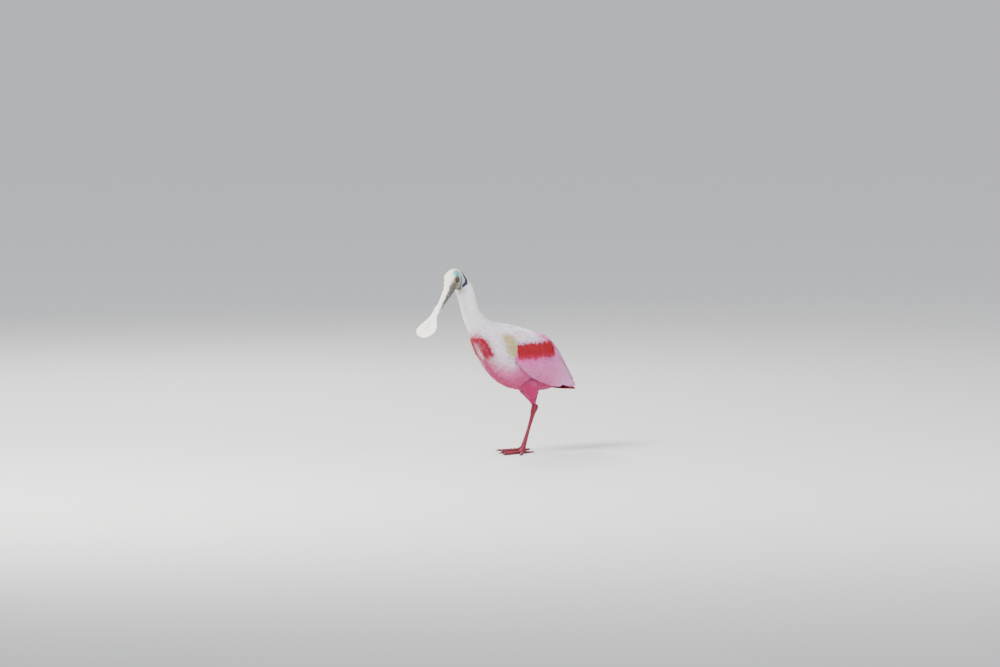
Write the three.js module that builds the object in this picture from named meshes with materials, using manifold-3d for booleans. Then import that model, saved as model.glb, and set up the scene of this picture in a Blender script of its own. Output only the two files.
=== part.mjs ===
// Roseate spoonbill, life size, standing still with its neck raised, its bill held down and to its left.
// Millimetres, Z up. The bird faces -X, its left side is towards -Y, and its soles stand on z = 0.

import * as THREE from 'three';
import { mergeVertices } from 'three/addons/utils/BufferGeometryUtils.js';
import Module from 'manifold-3d';

const wasm = await Module();
wasm.setup();

// Driving dimensions

const GAP = 0.3;
const FAR = 600;
const FREE = 30;

const BILL_LENGTH = 178;
const SPOON_WIDTH = 57;
const EYE_RADIUS = 7;
const EYE_INSET = 14.6;
const LID_OPENING = 5.6;
const LID_THICKNESS = 1.5;

const EYE_LINE = new THREE.Vector3(-325, 0, 471);
const HEAD_TURN_DEGREES = 12;
const HEAD_PITCH_DEGREES = 44;

const LEFT = -1;
const RIGHT = 1;

// The trunk and neck as ribs: a point on the back line, a point on the breast or belly line (x, z),
// and half the width between them. The first ribs are hidden in the head.
const trunkRibs = [
  { back: [-284, 488], front: [-320, 470], half: 13 },
  { back: [-268, 474], front: [-314, 452], half: 18 },
  { back: [-252, 449], front: [-294, 431], half: 21.5 },
  { back: [-241, 418], front: [-281, 400], half: 21 },
  { back: [-229, 390], front: [-269, 367], half: 22 },
  { back: [-211, 371], front: [-252, 336], half: 26 },
  { back: [-184, 356], front: [-231, 306], half: 35 },
  { back: [-151, 347], front: [-206, 267], half: 47 },
  { back: [-109, 339.5], front: [-170, 220], half: 57 },
  { back: [-66, 328.5], front: [-121, 184], half: 61 },
  { back: [-19, 314], front: [-68, 168], half: 60 },
  { back: [22, 291], front: [-12, 161], half: 53 },
  { back: [52, 260], front: [36, 161], half: 41 },
  { back: [76, 224], front: [70, 166], half: 27 },
  { back: [92, 196], front: [90, 173], half: 13 },
];
const TRUNK_EGG = 0.08;

// The neck is parted in two, and from the trunk, at these places along the ribs.
const NECK_MIDDLE = 3.6;
const NECK_FOOT = 5.6;

// The folded wing's outer surface as ribs from the bend of the wing to its tip, in the same terms.
const wingRibs = [
  { back: [-152, 348], front: [-140, 238], half: 63 },
  { back: [-92, 336], front: [-96, 204], half: 68 },
  { back: [-32, 322], front: [-46, 186], half: 67 },
  { back: [24, 306], front: [8, 174], half: 60 },
  { back: [63, 283], front: [56, 169.5], half: 48 },
  { back: [96, 244], front: [94, 168], half: 35 },
  { back: [127, 204], front: [126, 166.5], half: 24 },
  { back: [154, 171], front: [153, 164.5], half: 14 },
];
const WING_WRAP_DEGREES = 118;

// The plate under the wing's feathers lies in a shallow bed in the trunk: how far both lie inside the
// wing's surface, and the places and degrees they reach.
const BED_DEPTH = 10.5;
const PLATE_DEPTH = 8.8;
const BED_PLACES = [0.04, 3.3];
const BED_DEGREES = [22, 119];

// The folded wing's feathers, tier by tier from the lowest layer out. Roots and tips are the ends of the
// middle lines of the lowest and of the highest feather: a place along the ribs, and degrees down from the
// back line. Lift is how far the tier lies outside the wing's surface, at its front and at its rear.
const wingTiers = [
  {
    roots: [[2.7, 104], [2.9, 60]],
    tips: [[7, 114], [6.2, 30]],
    count: 4, width: 17, lift: [-9.2, -3], tilt: 10,
  },
  {
    roots: [[0.9, 106], [1.9, 58]],
    tips: [[4.5, 112], [6.3, 62]],
    count: 5, width: 20, lift: [-6, -0.2], tilt: 10,
  },
  {
    roots: [[1.7, 52], [1.9, 24]],
    tips: [[6, 48], [5, 15]],
    count: 3, width: 27, lift: [-3.8, 0.4], tilt: 8,
  },
  {
    roots: [[0.5, 102], [1.1, 48]],
    tips: [[2.7, 110], [3.8, 56]],
    count: 5, width: 22, lift: [-2.6, 0], tilt: 8,
  },
  {
    roots: [[0.1, 98], [0.6, 44]],
    tips: [[1.6, 106], [2.6, 50]],
    count: 5, width: 22, lift: [0.4, 0.4], tilt: 8,
  },
  {
    roots: [[0.1, 42], [0.15, 27]],
    tips: [[2.5, 42], [3.2, 12]],
    count: 3, width: 27, lift: [0.4, 1.4], tilt: 4,
  },
];
const LIFT_PLACES = [2, 6.5];
const STOP_SPACING = 0.75;
const VANE_ROOT_DEPTH = 9.4;
const VANE_THICKNESS = 0.62;
const VANE_TIP_THICKNESS = 0.5;

// The skull in the head's own directions: distance forward of the eye, crown, throat and half the width.
const skullRibs = [
  { forward: -37, crown: -4, throat: -30, half: 10 },
  { forward: -30, crown: 6, throat: -39, half: 16.5 },
  { forward: -17, crown: 15, throat: -45, half: 20.5 },
  { forward: -3, crown: 17.5, throat: -40, half: 21 },
  { forward: 10, crown: 13.5, throat: -32, half: 17.5 },
  { forward: 24, crown: 7.5, throat: -26, half: 13.5 },
];

// The closed bill: distance forward of the eye, half the width, the line of the mouth, and the depth of
// the upper and lower mandible above and below that line.
const BILL_START = 24;
const billRibs = [
  { forward: 24, half: 13.2, mouth: -11, upper: 17, lower: 13.5 },
  { forward: 40, half: 12.8, mouth: -10.5, upper: 12.5, lower: 11.5 },
  { forward: 60, half: 12, mouth: -9.5, upper: 7.5, lower: 7.5 },
  { forward: 85, half: 10.4, mouth: -7.8, upper: 4.6, lower: 4.2 },
  { forward: 110, half: 9.4, mouth: -6, upper: 3.3, lower: 2.8 },
  { forward: 128, half: 10.4, mouth: -4.6, upper: 2.6, lower: 2.2 },
  { forward: 145, half: 17, mouth: -3.2, upper: 2.3, lower: 1.9 },
  { forward: 162, half: 25, mouth: -2, upper: 2.1, lower: 1.8 },
  { forward: 178, half: SPOON_WIDTH / 2, mouth: -1.4, upper: 2.1, lower: 1.8 },
  { forward: 191, half: 23.5, mouth: -2, upper: 2.2, lower: 1.9 },
  { forward: 198, half: 14.5, mouth: -2.9, upper: 2, lower: 1.6 },
  { forward: BILL_START + BILL_LENGTH, half: 4, mouth: -4, upper: 1.4, lower: 1 },
];
const LOWER_BILL_SHARE = 0.94;

// Each leg: the feathered thigh's middle line and radius, the ankle, and the middle of the foot.
const legs = [
  {
    side: LEFT,
    name: 'left',
    thigh: [
      { at: [-60, -31, 200], radius: 20 },
      { at: [-49, -35, 165], radius: 18.5 },
      { at: [-41, -31, 149], radius: 12.5 },
      { at: [-35, -28, 133], radius: 7.6 },
    ],
    ankle: [-28.7, -24, 113],
    foot: [-73, -27, 9],
  },
  {
    side: RIGHT,
    name: 'right',
    thigh: [
      { at: [-4, 31, 200], radius: 20 },
      { at: [7.5, 35, 165], radius: 18.5 },
      { at: [13, 31, 149], radius: 12.5 },
      { at: [21.5, 28, 133], radius: 7.6 },
    ],
    ankle: [32.7, 24, 113],
    foot: [-15, 27, 9],
  },
];
const SHANK_RADIUS = 4.8;
const ANKLE_RADIUS = 7;
const TARSUS_RADIUS = 4.4;
const FOOT_TOP = 15;

// Toes: name, direction from straight ahead towards the outside, length to the claw, radius at the root.
const toes = [
  { name: 'inner', spread: -34, length: 58, radius: 4.6 },
  { name: 'middle', spread: 2, length: 74, radius: 4.9 },
  { name: 'outer', spread: 36, length: 64, radius: 4.7 },
  { name: 'back', spread: 170, length: 31, radius: 3.9 },
];
const TOE_TIP_SHARE = 0.62;
const CLAW_LENGTH = 10;
const WEB_REACH = 24;

// The tail: a fan of feathers under the wing tips, laid in layers with the middle ones uppermost.
const TAIL_ROOT = new THREE.Vector3(66, 0, 167.5);
const TAIL_LENGTH = 82;
const TAIL_DROP_DEGREES = 4.5;
const TAIL_SPREAD_DEGREES = 16;
const TAIL_FEATHERS = 8;
const TAIL_FEATHER_WIDTH = 18;
const TAIL_LAYER = 0.85;

// The curly tuft on the breast, in rows down it: places along the trunk's ribs, and degrees to each side
// of the breast line.
const tuftRows = [
  { place: 6.3, count: 3, spread: 11 },
  { place: 6.65, count: 4, spread: 17 },
  { place: 7, count: 3, spread: 11 },
];
const TUFT_FEATHER_RIBS = 0.68;
const TUFT_FEATHER_WIDTH = 12;
const TUFT_LIFT = 5;

// Colours and finishes

function finish(color, roughness) {
  return new THREE.MeshStandardMaterial({ color, roughness, metalness: 0 });
}

const palePlumage = finish(0xf1e9ec, 0.85);
const pinkPlumage = finish(0xd98aa4, 0.8);
const wingPlumage = finish(0xdf8fae, 0.75);
const tailPlumage = finish(0xc9502e, 0.75);
const bareHead = finish(0xcfd0b4, 0.6);
const bill = finish(0xd3d2c6, 0.45);
const redSkin = finish(0x8c2f45, 0.55);
const darkClaw = finish(0x2a2426, 0.4);
const redEye = finish(0x9c1219, 0.1);

// Solids

// A closed solid from a geometry, with its shared corners merged and its faces turned outwards.
function solidOf(geometry) {
  const bare = new THREE.BufferGeometry();
  bare.setAttribute('position', geometry.getAttribute('position').clone());
  if (geometry.index) {
    bare.setIndex(geometry.index.clone());
  }
  const merged = mergeVertices(bare, 1e-4);
  const vertProperties = new Float32Array(merged.getAttribute('position').array);
  const triVerts = new Uint32Array(merged.index.array);
  if (signedVolume(vertProperties, triVerts) < 0) {
    triVerts.reverse();
  }
  return new wasm.Manifold(new wasm.Mesh({ numProp: 3, vertProperties, triVerts }));
}

function signedVolume(points, triangles) {
  const a = new THREE.Vector3();
  const b = new THREE.Vector3();
  const c = new THREE.Vector3();
  let sum = 0;
  for (let k = 0; k < triangles.length; k += 3) {
    a.fromArray(points, 3 * triangles[k]);
    b.fromArray(points, 3 * triangles[k + 1]);
    c.fromArray(points, 3 * triangles[k + 2]);
    sum += a.dot(b.cross(c));
  }
  return sum;
}

function geometryOf(solid) {
  const mesh = solid.getMesh();
  const geometry = new THREE.BufferGeometry();
  geometry.setAttribute('position', new THREE.BufferAttribute(new Float32Array(mesh.vertProperties), 3));
  geometry.setIndex(new THREE.BufferAttribute(new Uint32Array(mesh.triVerts), 1));
  geometry.computeVertexNormals();
  return geometry;
}

// The largest separate piece of a solid, so that no loose scrap is left by a cut.
function largest(solid) {
  const pieces = solid.decompose();
  pieces.sort((one, other) => other.volume() - one.volume());
  return pieces[0];
}

function joined(solids) {
  return solids.reduce((whole, solid) => whole.add(solid));
}

// A large block filling the half of space that the direction points into, from a point on its face.
function halfSpace(point, direction) {
  const block = new THREE.BoxGeometry(2 * FAR, 2 * FAR, FAR);
  const unit = direction.clone().normalize();
  const turn = new THREE.Quaternion().setFromUnitVectors(new THREE.Vector3(0, 0, 1), unit);
  const middle = unit.clone().multiplyScalar(FAR / 2).add(point);
  block.applyMatrix4(new THREE.Matrix4().compose(middle, turn, new THREE.Vector3(1, 1, 1)));
  return solidOf(block);
}

// A closed skin over rings of points with equal counts, its two ends closed by fans to their middles.
function loft(rings) {
  const count = rings[0].length;
  const positions = rings.flat().flatMap((point) => point.toArray());
  const index = [];
  for (let ring = 0; ring < rings.length - 1; ring += 1) {
    for (let k = 0; k < count; k += 1) {
      const here = ring * count + k;
      const beside = ring * count + ((k + 1) % count);
      index.push(here, beside, beside + count, here, beside + count, here + count);
    }
  }
  for (const ring of [0, rings.length - 1]) {
    const middle = positions.length / 3;
    const sum = rings[ring].reduce((total, point) => total.add(point), new THREE.Vector3());
    positions.push(...sum.divideScalar(count).toArray());
    for (let k = 0; k < count; k += 1) {
      const here = ring * count + k;
      const beside = ring * count + ((k + 1) % count);
      index.push(...(ring === 0 ? [beside, here, middle] : [here, beside, middle]));
    }
  }
  const geometry = new THREE.BufferGeometry();
  geometry.setAttribute('position', new THREE.Float32BufferAttribute(positions, 3));
  geometry.setIndex(index);
  return geometry;
}

// A smooth curve through equally spaced values, read at a place from 0 to the last one's number.
function smoothValue(values, place) {
  const last = values.length - 1;
  const start = Math.min(Math.floor(place), last - 1);
  const t = place - start;
  const [a, b, c, d] = [-1, 0, 1, 2].map((step) => values[THREE.MathUtils.clamp(start + step, 0, last)]);
  const slope = (c - a) / 2;
  const nextSlope = (d - b) / 2;
  const bend = 3 * (c - b) - 2 * slope - nextSlope;
  const twist = 2 * (b - c) + slope + nextSlope;
  return b + t * (slope + t * (bend + t * twist));
}

// A row of equally shaped records read at a place between them, value by value.
function smoothRib(ribs, place) {
  const rib = {};
  for (const key of Object.keys(ribs[0])) {
    const first = ribs[0][key];
    rib[key] = Array.isArray(first)
      ? first.map((_, axis) => smoothValue(ribs.map((each) => each[key][axis]), place))
      : smoothValue(ribs.map((each) => each[key]), place);
  }
  return rib;
}

function steps(from, to, count) {
  return Array.from({ length: count }, (_, k) => from + ((to - from) * k) / (count - 1));
}

// A repeatable draw between -1 and 1.
function seededDraw(seed) {
  let state = seed;
  return () => {
    state = (state * 16807) % 2147483647;
    return (2 * state) / 2147483647 - 1;
  };
}

// Feathers

// One vane: stops along it with a middle point, unit directions across and out of the blade, half the
// width and half the thickness. Both faces are split into triangles along the same diagonals.
function vaneSolid(stops) {
  const positions = [];
  for (const stop of stops) {
    for (const [across, out] of [[-1, 1], [1, 1], [1, -1], [-1, -1]]) {
      const corner = stop.at.clone().addScaledVector(stop.across, across * stop.half);
      positions.push(...corner.addScaledVector(stop.out, out * stop.thick).toArray());
    }
  }
  const last = 4 * (stops.length - 1);
  const index = [0, 2, 1, 0, 3, 2, last, last + 1, last + 2, last, last + 2, last + 3];
  for (let a = 0; a < last; a += 4) {
    const b = a + 4;
    index.push(a, a + 1, b + 1, a, b + 1, b);
    index.push(a + 3, b + 2, a + 2, a + 3, b + 3, b + 2);
    index.push(a + 1, a + 2, b + 2, a + 1, b + 2, b + 1);
    index.push(a + 3, a, b, a + 3, b, b + 3);
  }
  const geometry = new THREE.BufferGeometry();
  geometry.setAttribute('position', new THREE.Float32BufferAttribute(positions, 3));
  geometry.setIndex(index);
  return solidOf(geometry);
}

// The share of its full width that a vane has along its length: narrow at the root, round at the tip.
function vaneOutline(along) {
  const rise = 0.4 + 0.6 * THREE.MathUtils.smoothstep(along, 0, 0.4);
  const fall = Math.sqrt(1 - Math.max(0, (along - 0.55) / 0.45) ** 3);
  return rise * (0.12 + 0.88 * fall);
}

const FREE_STOPS = steps(0, 1, 5).map((step) => 1 - (1 - step) ** 1.5);

// A vane laid on a surface given by (place, angle, lift). Root and tip are the ends of its middle line;
// it rises from its sunk root to its lift over each place. It is tilted so that its upper edge sinks
// under the next one, and its tip may curl outwards. Stops are the shares of its length where it bends.
function laidVane(surface, { root, tip, width, lift, tilt, rootDepth, curl = 0, stops = FREE_STOPS }) {
  const upTilt = THREE.MathUtils.degToRad(tilt);
  const at = (along, outwards = 0, turn = 0) => {
    const place = THREE.MathUtils.lerp(root[0], tip[0], along);
    const angle = THREE.MathUtils.degToRad(THREE.MathUtils.lerp(root[1], tip[1], along));
    const lie = lift(place) + curl * along ** 3;
    const sunk = (1 - THREE.MathUtils.smoothstep(along, 0, 0.16)) * (lie + rootDepth);
    return surface(place, angle + turn, lie - sunk + outwards);
  };
  const sections = stops.map((along) => {
    const middle = at(along);
    const forward = at(along + 0.01).sub(at(along - 0.01)).normalize();
    const out = at(along, 1).sub(middle);
    out.addScaledVector(forward, -out.dot(forward)).normalize();
    const down = at(along, 0, 0.01).sub(middle);
    down.addScaledVector(forward, -down.dot(forward));
    down.addScaledVector(out, -down.dot(out)).normalize();
    return {
      at: middle,
      across: down.clone().multiplyScalar(Math.cos(upTilt)).addScaledVector(out, Math.sin(upTilt)),
      out: out.clone().multiplyScalar(Math.cos(upTilt)).addScaledVector(down, -Math.sin(upTilt)),
      half: (width / 2) * vaneOutline(along),
      thick: THREE.MathUtils.lerp(VANE_THICKNESS, VANE_TIP_THICKNESS, along) / 2,
    };
  });
  return vaneSolid(sections);
}

function mixPair(pair, share) {
  return pair[0].map((value, k) => THREE.MathUtils.lerp(value, pair[1][k], share));
}

// Trunk and neck

// A point on the trunk: the angle runs from the back line (0) down the left side to the belly line (pi).
function trunkPoint(place, angle, grow = 0) {
  const rib = smoothRib(trunkRibs, place);
  const middle = new THREE.Vector2((rib.back[0] + rib.front[0]) / 2, (rib.back[1] + rib.front[1]) / 2);
  const toBack = new THREE.Vector2(rib.back[0], rib.back[1]).sub(middle);
  const height = toBack.length() + grow;
  toBack.normalize().multiplyScalar(height * Math.cos(angle));
  const across = (rib.half + grow) * Math.sin(angle) * (1 + TRUNK_EGG * Math.cos(angle));
  return new THREE.Vector3(middle.x + toBack.x, -across, middle.y + toBack.y);
}

function trunkSolid(grow) {
  const around = 22;
  const rings = steps(0, trunkRibs.length - 1, 29).map((place) =>
    Array.from({ length: around }, (_, k) => trunkPoint(place, (2 * Math.PI * k) / around, grow)),
  );
  return solidOf(loft(rings));
}

// The tuft's feathers: short, lifted clear of the breast and curled outwards at their tips.
function tuftVanes() {
  const draw = seededDraw(7);
  return tuftRows.flatMap((row) =>
    steps(-row.spread, row.spread, row.count).map((offset) => {
      const root = [row.place + 0.04 * draw(), 180 + offset];
      const tip = [row.place + TUFT_FEATHER_RIBS + 0.06 * draw(), 180 + 1.25 * offset + 3 * draw()];
      const width = TUFT_FEATHER_WIDTH * (1 + 0.1 * draw());
      const curl = 4 + 2 * draw();
      return laidVane(trunkPoint, { root, tip, width, lift: () => TUFT_LIFT, tilt: 0, rootDepth: 6, curl });
    }),
  );
}

// Head

const headForward = new THREE.Vector3();
const headUp = new THREE.Vector3();
const headLeft = new THREE.Vector3();
const headFrame = headMatrix();

// The head's own directions: x forward along the bill, y to the left, z towards the crown.
function headMatrix() {
  const turn = THREE.MathUtils.degToRad(HEAD_TURN_DEGREES);
  const pitch = THREE.MathUtils.degToRad(HEAD_PITCH_DEGREES);
  headForward.set(-Math.cos(turn) * Math.cos(pitch), -Math.sin(turn) * Math.cos(pitch), -Math.sin(pitch));
  headUp.set(-Math.cos(turn) * Math.sin(pitch), -Math.sin(turn) * Math.sin(pitch), Math.cos(pitch));
  headLeft.crossVectors(headUp, headForward);
  return new THREE.Matrix4().makeBasis(headForward, headLeft, headUp).setPosition(EYE_LINE);
}

function inHead(forward, left, up) {
  return new THREE.Vector3(forward, left, up).applyMatrix4(headFrame);
}

function skullSolid(grow) {
  const around = 20;
  const rings = steps(0, skullRibs.length - 1, 13).map((place) => {
    const rib = smoothRib(skullRibs, place);
    const middle = (rib.crown + rib.throat) / 2;
    const height = (rib.crown - rib.throat) / 2 + grow;
    return Array.from({ length: around }, (_, k) => {
      const angle = (2 * Math.PI * k) / around;
      const left = (rib.half + grow) * Math.sin(angle) * (1 + 0.16 * Math.cos(angle));
      return inHead(rib.forward, left, middle + height * Math.cos(angle));
    });
  });
  return solidOf(loft(rings));
}

function ball(center, radius) {
  const sphere = new THREE.SphereGeometry(radius, 12, 9);
  sphere.translate(center.x, center.y, center.z);
  return solidOf(sphere);
}

function eyeCenter(side) {
  return inHead(0, -side * EYE_INSET, 0);
}

// A ring of lid round each eye, flat to the side of the head.
function lidSolid(side) {
  const ring = new THREE.TorusGeometry(LID_OPENING + LID_THICKNESS / 2, LID_THICKNESS, 5, 16);
  ring.rotateX(Math.PI / 2);
  ring.translate(0, -side * 19.2, 0);
  ring.applyMatrix4(headFrame);
  return solidOf(ring);
}

// The line of the mouth carried back from the bill into each cheek as a shallow groove.
function gapeGroove(side) {
  const groove = new THREE.BoxGeometry(22, 5, 0.9);
  groove.rotateY(0.1);
  groove.translate(BILL_START - 9, -side * 17.5, -11.4);
  groove.applyMatrix4(headFrame);
  return solidOf(groove);
}

// The ear opening behind and below the eye, a small dimple that the nape's dark band runs round.
function earSolid(side) {
  const ear = new THREE.SphereGeometry(1, 8, 6);
  ear.scale(3.2, 2.2, 2.2);
  ear.translate(-22, -side * 19, -20);
  ear.applyMatrix4(headFrame);
  return solidOf(ear);
}

function headSolid() {
  let head = skullSolid(0);
  for (const side of [LEFT, RIGHT]) {
    head = head.add(lidSolid(side));
  }
  for (const side of [LEFT, RIGHT]) {
    head = head.subtract(ball(eyeCenter(side), EYE_RADIUS + GAP));
    head = head.subtract(gapeGroove(side)).subtract(earSolid(side));
  }
  return largest(head);
}

// Bill

// One mandible: flat where the two meet, rounded on the outside, from the face of the head to the tip.
function mandibleSolid(direction, share, key) {
  const rings = steps(0, billRibs.length - 1, 20).map((place) => {
    const rib = smoothRib(billRibs, place);
    const forward = Math.max(rib.forward, BILL_START + GAP);
    const flat = rib.mouth + (direction * GAP) / 2;
    const half = rib.half * share;
    const round = steps(0, Math.PI, 9).map((angle) => {
      const height = rib[key] * (0.28 + 0.72 * Math.sin(angle) ** 0.7);
      return inHead(forward, half * Math.cos(angle), flat + direction * height);
    });
    const under = [-0.5, 0, 0.5].map((part) => inHead(forward, half * part, flat));
    return [...round, inHead(forward, -half, flat), ...under, inHead(forward, half, flat)];
  });
  return solidOf(loft(rings));
}

// Long narrow nostrils on top of the upper mandible.
function nostrilSolid(side) {
  const slot = new THREE.SphereGeometry(1, 10, 8);
  slot.scale(6, 1.1, 2);
  slot.rotateY(0.25);
  slot.translate(BILL_START + 15, -side * 4.6, 2.2);
  slot.applyMatrix4(headFrame);
  return solidOf(slot);
}

// Wings

// A point on the wing's outer surface: the angle runs from the back line down the side, outwards by lift.
function wingPoint(side, place, angle, lift) {
  const rib = smoothRib(wingRibs, place);
  const wrap = THREE.MathUtils.degToRad(WING_WRAP_DEGREES);
  const down = new THREE.Vector2(rib.front[0] - rib.back[0], rib.front[1] - rib.back[1]);
  const height = down.length() / (1 - Math.cos(wrap));
  down.normalize();
  const along = height - (height + lift) * Math.cos(angle);
  const across = (rib.half + lift) * Math.sin(angle);
  return new THREE.Vector3(rib.back[0] + down.x * along, side * across, rib.back[1] + down.y * along);
}

// A sheet of the wing's surface between two lifts, as a closed solid.
function wingSheet(side, places, angles, inner, outer) {
  const [rows, columns] = [places.length, angles.length];
  const points = [outer, inner].flatMap((lift) =>
    places.flatMap((place) => angles.map((angle) => wingPoint(side, place, angle, lift))),
  );
  const index = [];
  const face = (a, b, c, d) => index.push(a, b, c, a, c, d);
  const below = rows * columns;
  for (let row = 0; row < rows - 1; row += 1) {
    for (let column = 0; column < columns - 1; column += 1) {
      const here = row * columns + column;
      const next = here + columns;
      face(here, next, next + 1, here + 1);
      face(below + here, below + here + 1, below + next + 1, below + next);
    }
    const [left, right] = [row * columns, (row + 1) * columns - 1];
    face(left, below + left, below + left + columns, left + columns);
    face(right, right + columns, below + right + columns, below + right);
  }
  for (let column = 0; column < columns - 1; column += 1) {
    const last = (rows - 1) * columns + column;
    face(column, column + 1, below + column + 1, below + column);
    face(last, below + last, below + last + 1, last + 1);
  }
  const geometry = new THREE.BufferGeometry();
  const positions = points.flatMap((point) => point.toArray());
  geometry.setAttribute('position', new THREE.Float32BufferAttribute(positions, 3));
  geometry.setIndex(index);
  return solidOf(geometry);
}

// A wing feather bends where its neighbours do, at even places along the wing, and rounds off at its tip.
function wingStops(root, tip) {
  const shared = Array.from({ length: 12 }, (_, k) => STOP_SPACING * k);
  const places = shared.filter((place) => place > root + 0.2 && place < tip - 0.5);
  return [root, ...places, tip - 0.3, tip].map((place) => (place - root) / (tip - root));
}

function wingVanes(side) {
  const draw = seededDraw(side === LEFT ? 11 : 29);
  const surface = (place, angle, lift) => wingPoint(side, place, angle, lift);
  return wingTiers.flatMap((tier) =>
    steps(0, 1, tier.count).map((share) => {
      const root = mixPair(tier.roots, share);
      const tip = mixPair(tier.tips, share);
      const reach = [tip[0] + 0.07 * draw(), tip[1] + 0.8 * draw()];
      const width = tier.width * (1 + 0.05 * draw());
      const { lerp, smoothstep } = THREE.MathUtils;
      const lift = (place) => lerp(...tier.lift, smoothstep(place, ...LIFT_PLACES));
      const vane = { root, tip: reach, width, lift, stops: wingStops(root[0], reach[0]) };
      return laidVane(surface, { ...vane, tilt: tier.tilt, rootDepth: VANE_ROOT_DEPTH });
    }),
  );
}

// A block of the wing between two depths under its surface, over the plate's reach less a margin.
function wingBlock(side, inner, outer, margin) {
  const [places, degrees] = [steps(...BED_PLACES, 6), steps(...BED_DEGREES, 8)];
  for (const [values, inset] of [[places, margin / 50], [degrees, margin]]) {
    values[0] += inset;
    values[values.length - 1] -= inset;
  }
  return wingSheet(side, places, degrees.map(THREE.MathUtils.degToRad), -inner, -outer);
}

function wingSolid(side, trunk, thigh) {
  const plate = wingBlock(side, BED_DEPTH - 2 * GAP, PLATE_DEPTH, 1);
  const ownSide = halfSpace(new THREE.Vector3(0, side * GAP, 0), new THREE.Vector3(0, side, 0));
  const clearOf = trunk.subtract(wingBlock(side, BED_DEPTH - GAP, -FREE, GAP)).add(thigh);
  return largest(joined([plate, ...wingVanes(side)]).intersect(ownSide).subtract(clearOf));
}

// Tail

// A point over the tail: place is the distance along it, angle the direction to its left or right.
function tailPoint(place, angle, lift) {
  const drop = THREE.MathUtils.degToRad(TAIL_DROP_DEGREES);
  const point = new THREE.Vector3(Math.cos(angle), Math.sin(angle), -Math.tan(drop));
  return point.multiplyScalar(place).add(TAIL_ROOT).setZ(TAIL_ROOT.z - place * Math.tan(drop) + lift);
}

function tailVane(number) {
  const share = (2 * number) / (TAIL_FEATHERS - 1) - 1;
  const side = Math.sign(share);
  const layer = Math.round((TAIL_FEATHERS - 1) * Math.abs(share)) - (side > 0 ? 1 : 0);
  const sink = -1 - TAIL_LAYER * layer;
  const spread = Math.abs(share) * TAIL_SPREAD_DEGREES + 3;
  return laidVane((place, angle, lift) => tailPoint(place, side * angle, lift), {
    root: [8, spread],
    tip: [TAIL_LENGTH * (1 - 0.1 * share ** 2), spread],
    width: TAIL_FEATHER_WIDTH,
    lift: () => sink,
    tilt: 0,
    rootDepth: -sink,
  });
}

function tailSolid(clearOf) {
  const core = new THREE.SphereGeometry(1, 14, 8);
  core.scale(34, 13, 4.5);
  core.translate(TAIL_ROOT.x + 14, 0, TAIL_ROOT.z - 5);
  const vanes = Array.from({ length: TAIL_FEATHERS }, (_, number) => tailVane(number));
  return largest(joined([solidOf(core), ...vanes]).subtract(clearOf));
}

// Legs and feet

// A round limb along straight stretches: each stop has a place, a radius, and a depth share fore and aft.
function limbSolid(stops, around = 10) {
  const rings = stops.map((stop, k) => {
    const before = stops[Math.max(k - 1, 0)].at;
    const after = stops[Math.min(k + 1, stops.length - 1)].at;
    const axis = after.clone().sub(before).normalize();
    const across = new THREE.Vector3(0, 1, 0).cross(axis).normalize();
    const aside = axis.clone().cross(across);
    return Array.from({ length: around }, (_, step) => {
      const angle = (2 * Math.PI * (step + 0.5)) / around;
      const point = stop.at.clone();
      point.addScaledVector(across, stop.radius * (stop.depth ?? 1) * Math.cos(angle));
      return point.addScaledVector(aside, stop.radius * Math.sin(angle));
    });
  });
  return solidOf(loft(rings));
}

function between(from, to, share) {
  return from.clone().lerp(to, share);
}

function thighSolid(leg, grow) {
  const ribs = leg.thigh;
  const stops = steps(0, ribs.length - 1, 8).map((place) => {
    const rib = smoothRib(ribs, place);
    return { at: new THREE.Vector3(...rib.at), radius: rib.radius + grow, depth: 1.05 };
  });
  return limbSolid(stops, 12);
}

// The bare leg from inside the thigh, over the ankle, down to the foot.
function bareLegSolid(leg) {
  const top = new THREE.Vector3(...leg.thigh[2].at);
  const knee = new THREE.Vector3(...leg.thigh[3].at);
  const ankle = new THREE.Vector3(...leg.ankle);
  const foot = new THREE.Vector3(...leg.foot);
  const stops = [
    { at: top, radius: SHANK_RADIUS },
    { at: knee, radius: SHANK_RADIUS },
    { at: between(knee, ankle, 0.55), radius: SHANK_RADIUS },
    { at: between(knee, ankle, 0.85), radius: ANKLE_RADIUS - 0.8, depth: 1.05 },
    { at: ankle, radius: ANKLE_RADIUS, depth: 1.15 },
    { at: between(ankle, foot, 0.07), radius: ANKLE_RADIUS - 0.6, depth: 1.1 },
    { at: between(ankle, foot, 0.17), radius: TARSUS_RADIUS, depth: 1.25 },
    { at: between(ankle, foot, 0.5), radius: TARSUS_RADIUS - 0.4, depth: 1.25 },
    { at: between(ankle, foot, 0.86), radius: TARSUS_RADIUS, depth: 1.25 },
    { at: between(ankle, foot, 0.94), radius: TARSUS_RADIUS + 1.2, depth: 1.15 },
    { at: foot, radius: TARSUS_RADIUS + 1.6, depth: 1.1 },
  ];
  return limbSolid(stops);
}

function toeDirection(leg, toe) {
  const angle = THREE.MathUtils.degToRad(toe.spread);
  return new THREE.Vector3(-Math.cos(angle), leg.side * Math.sin(angle), 0);
}

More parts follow.
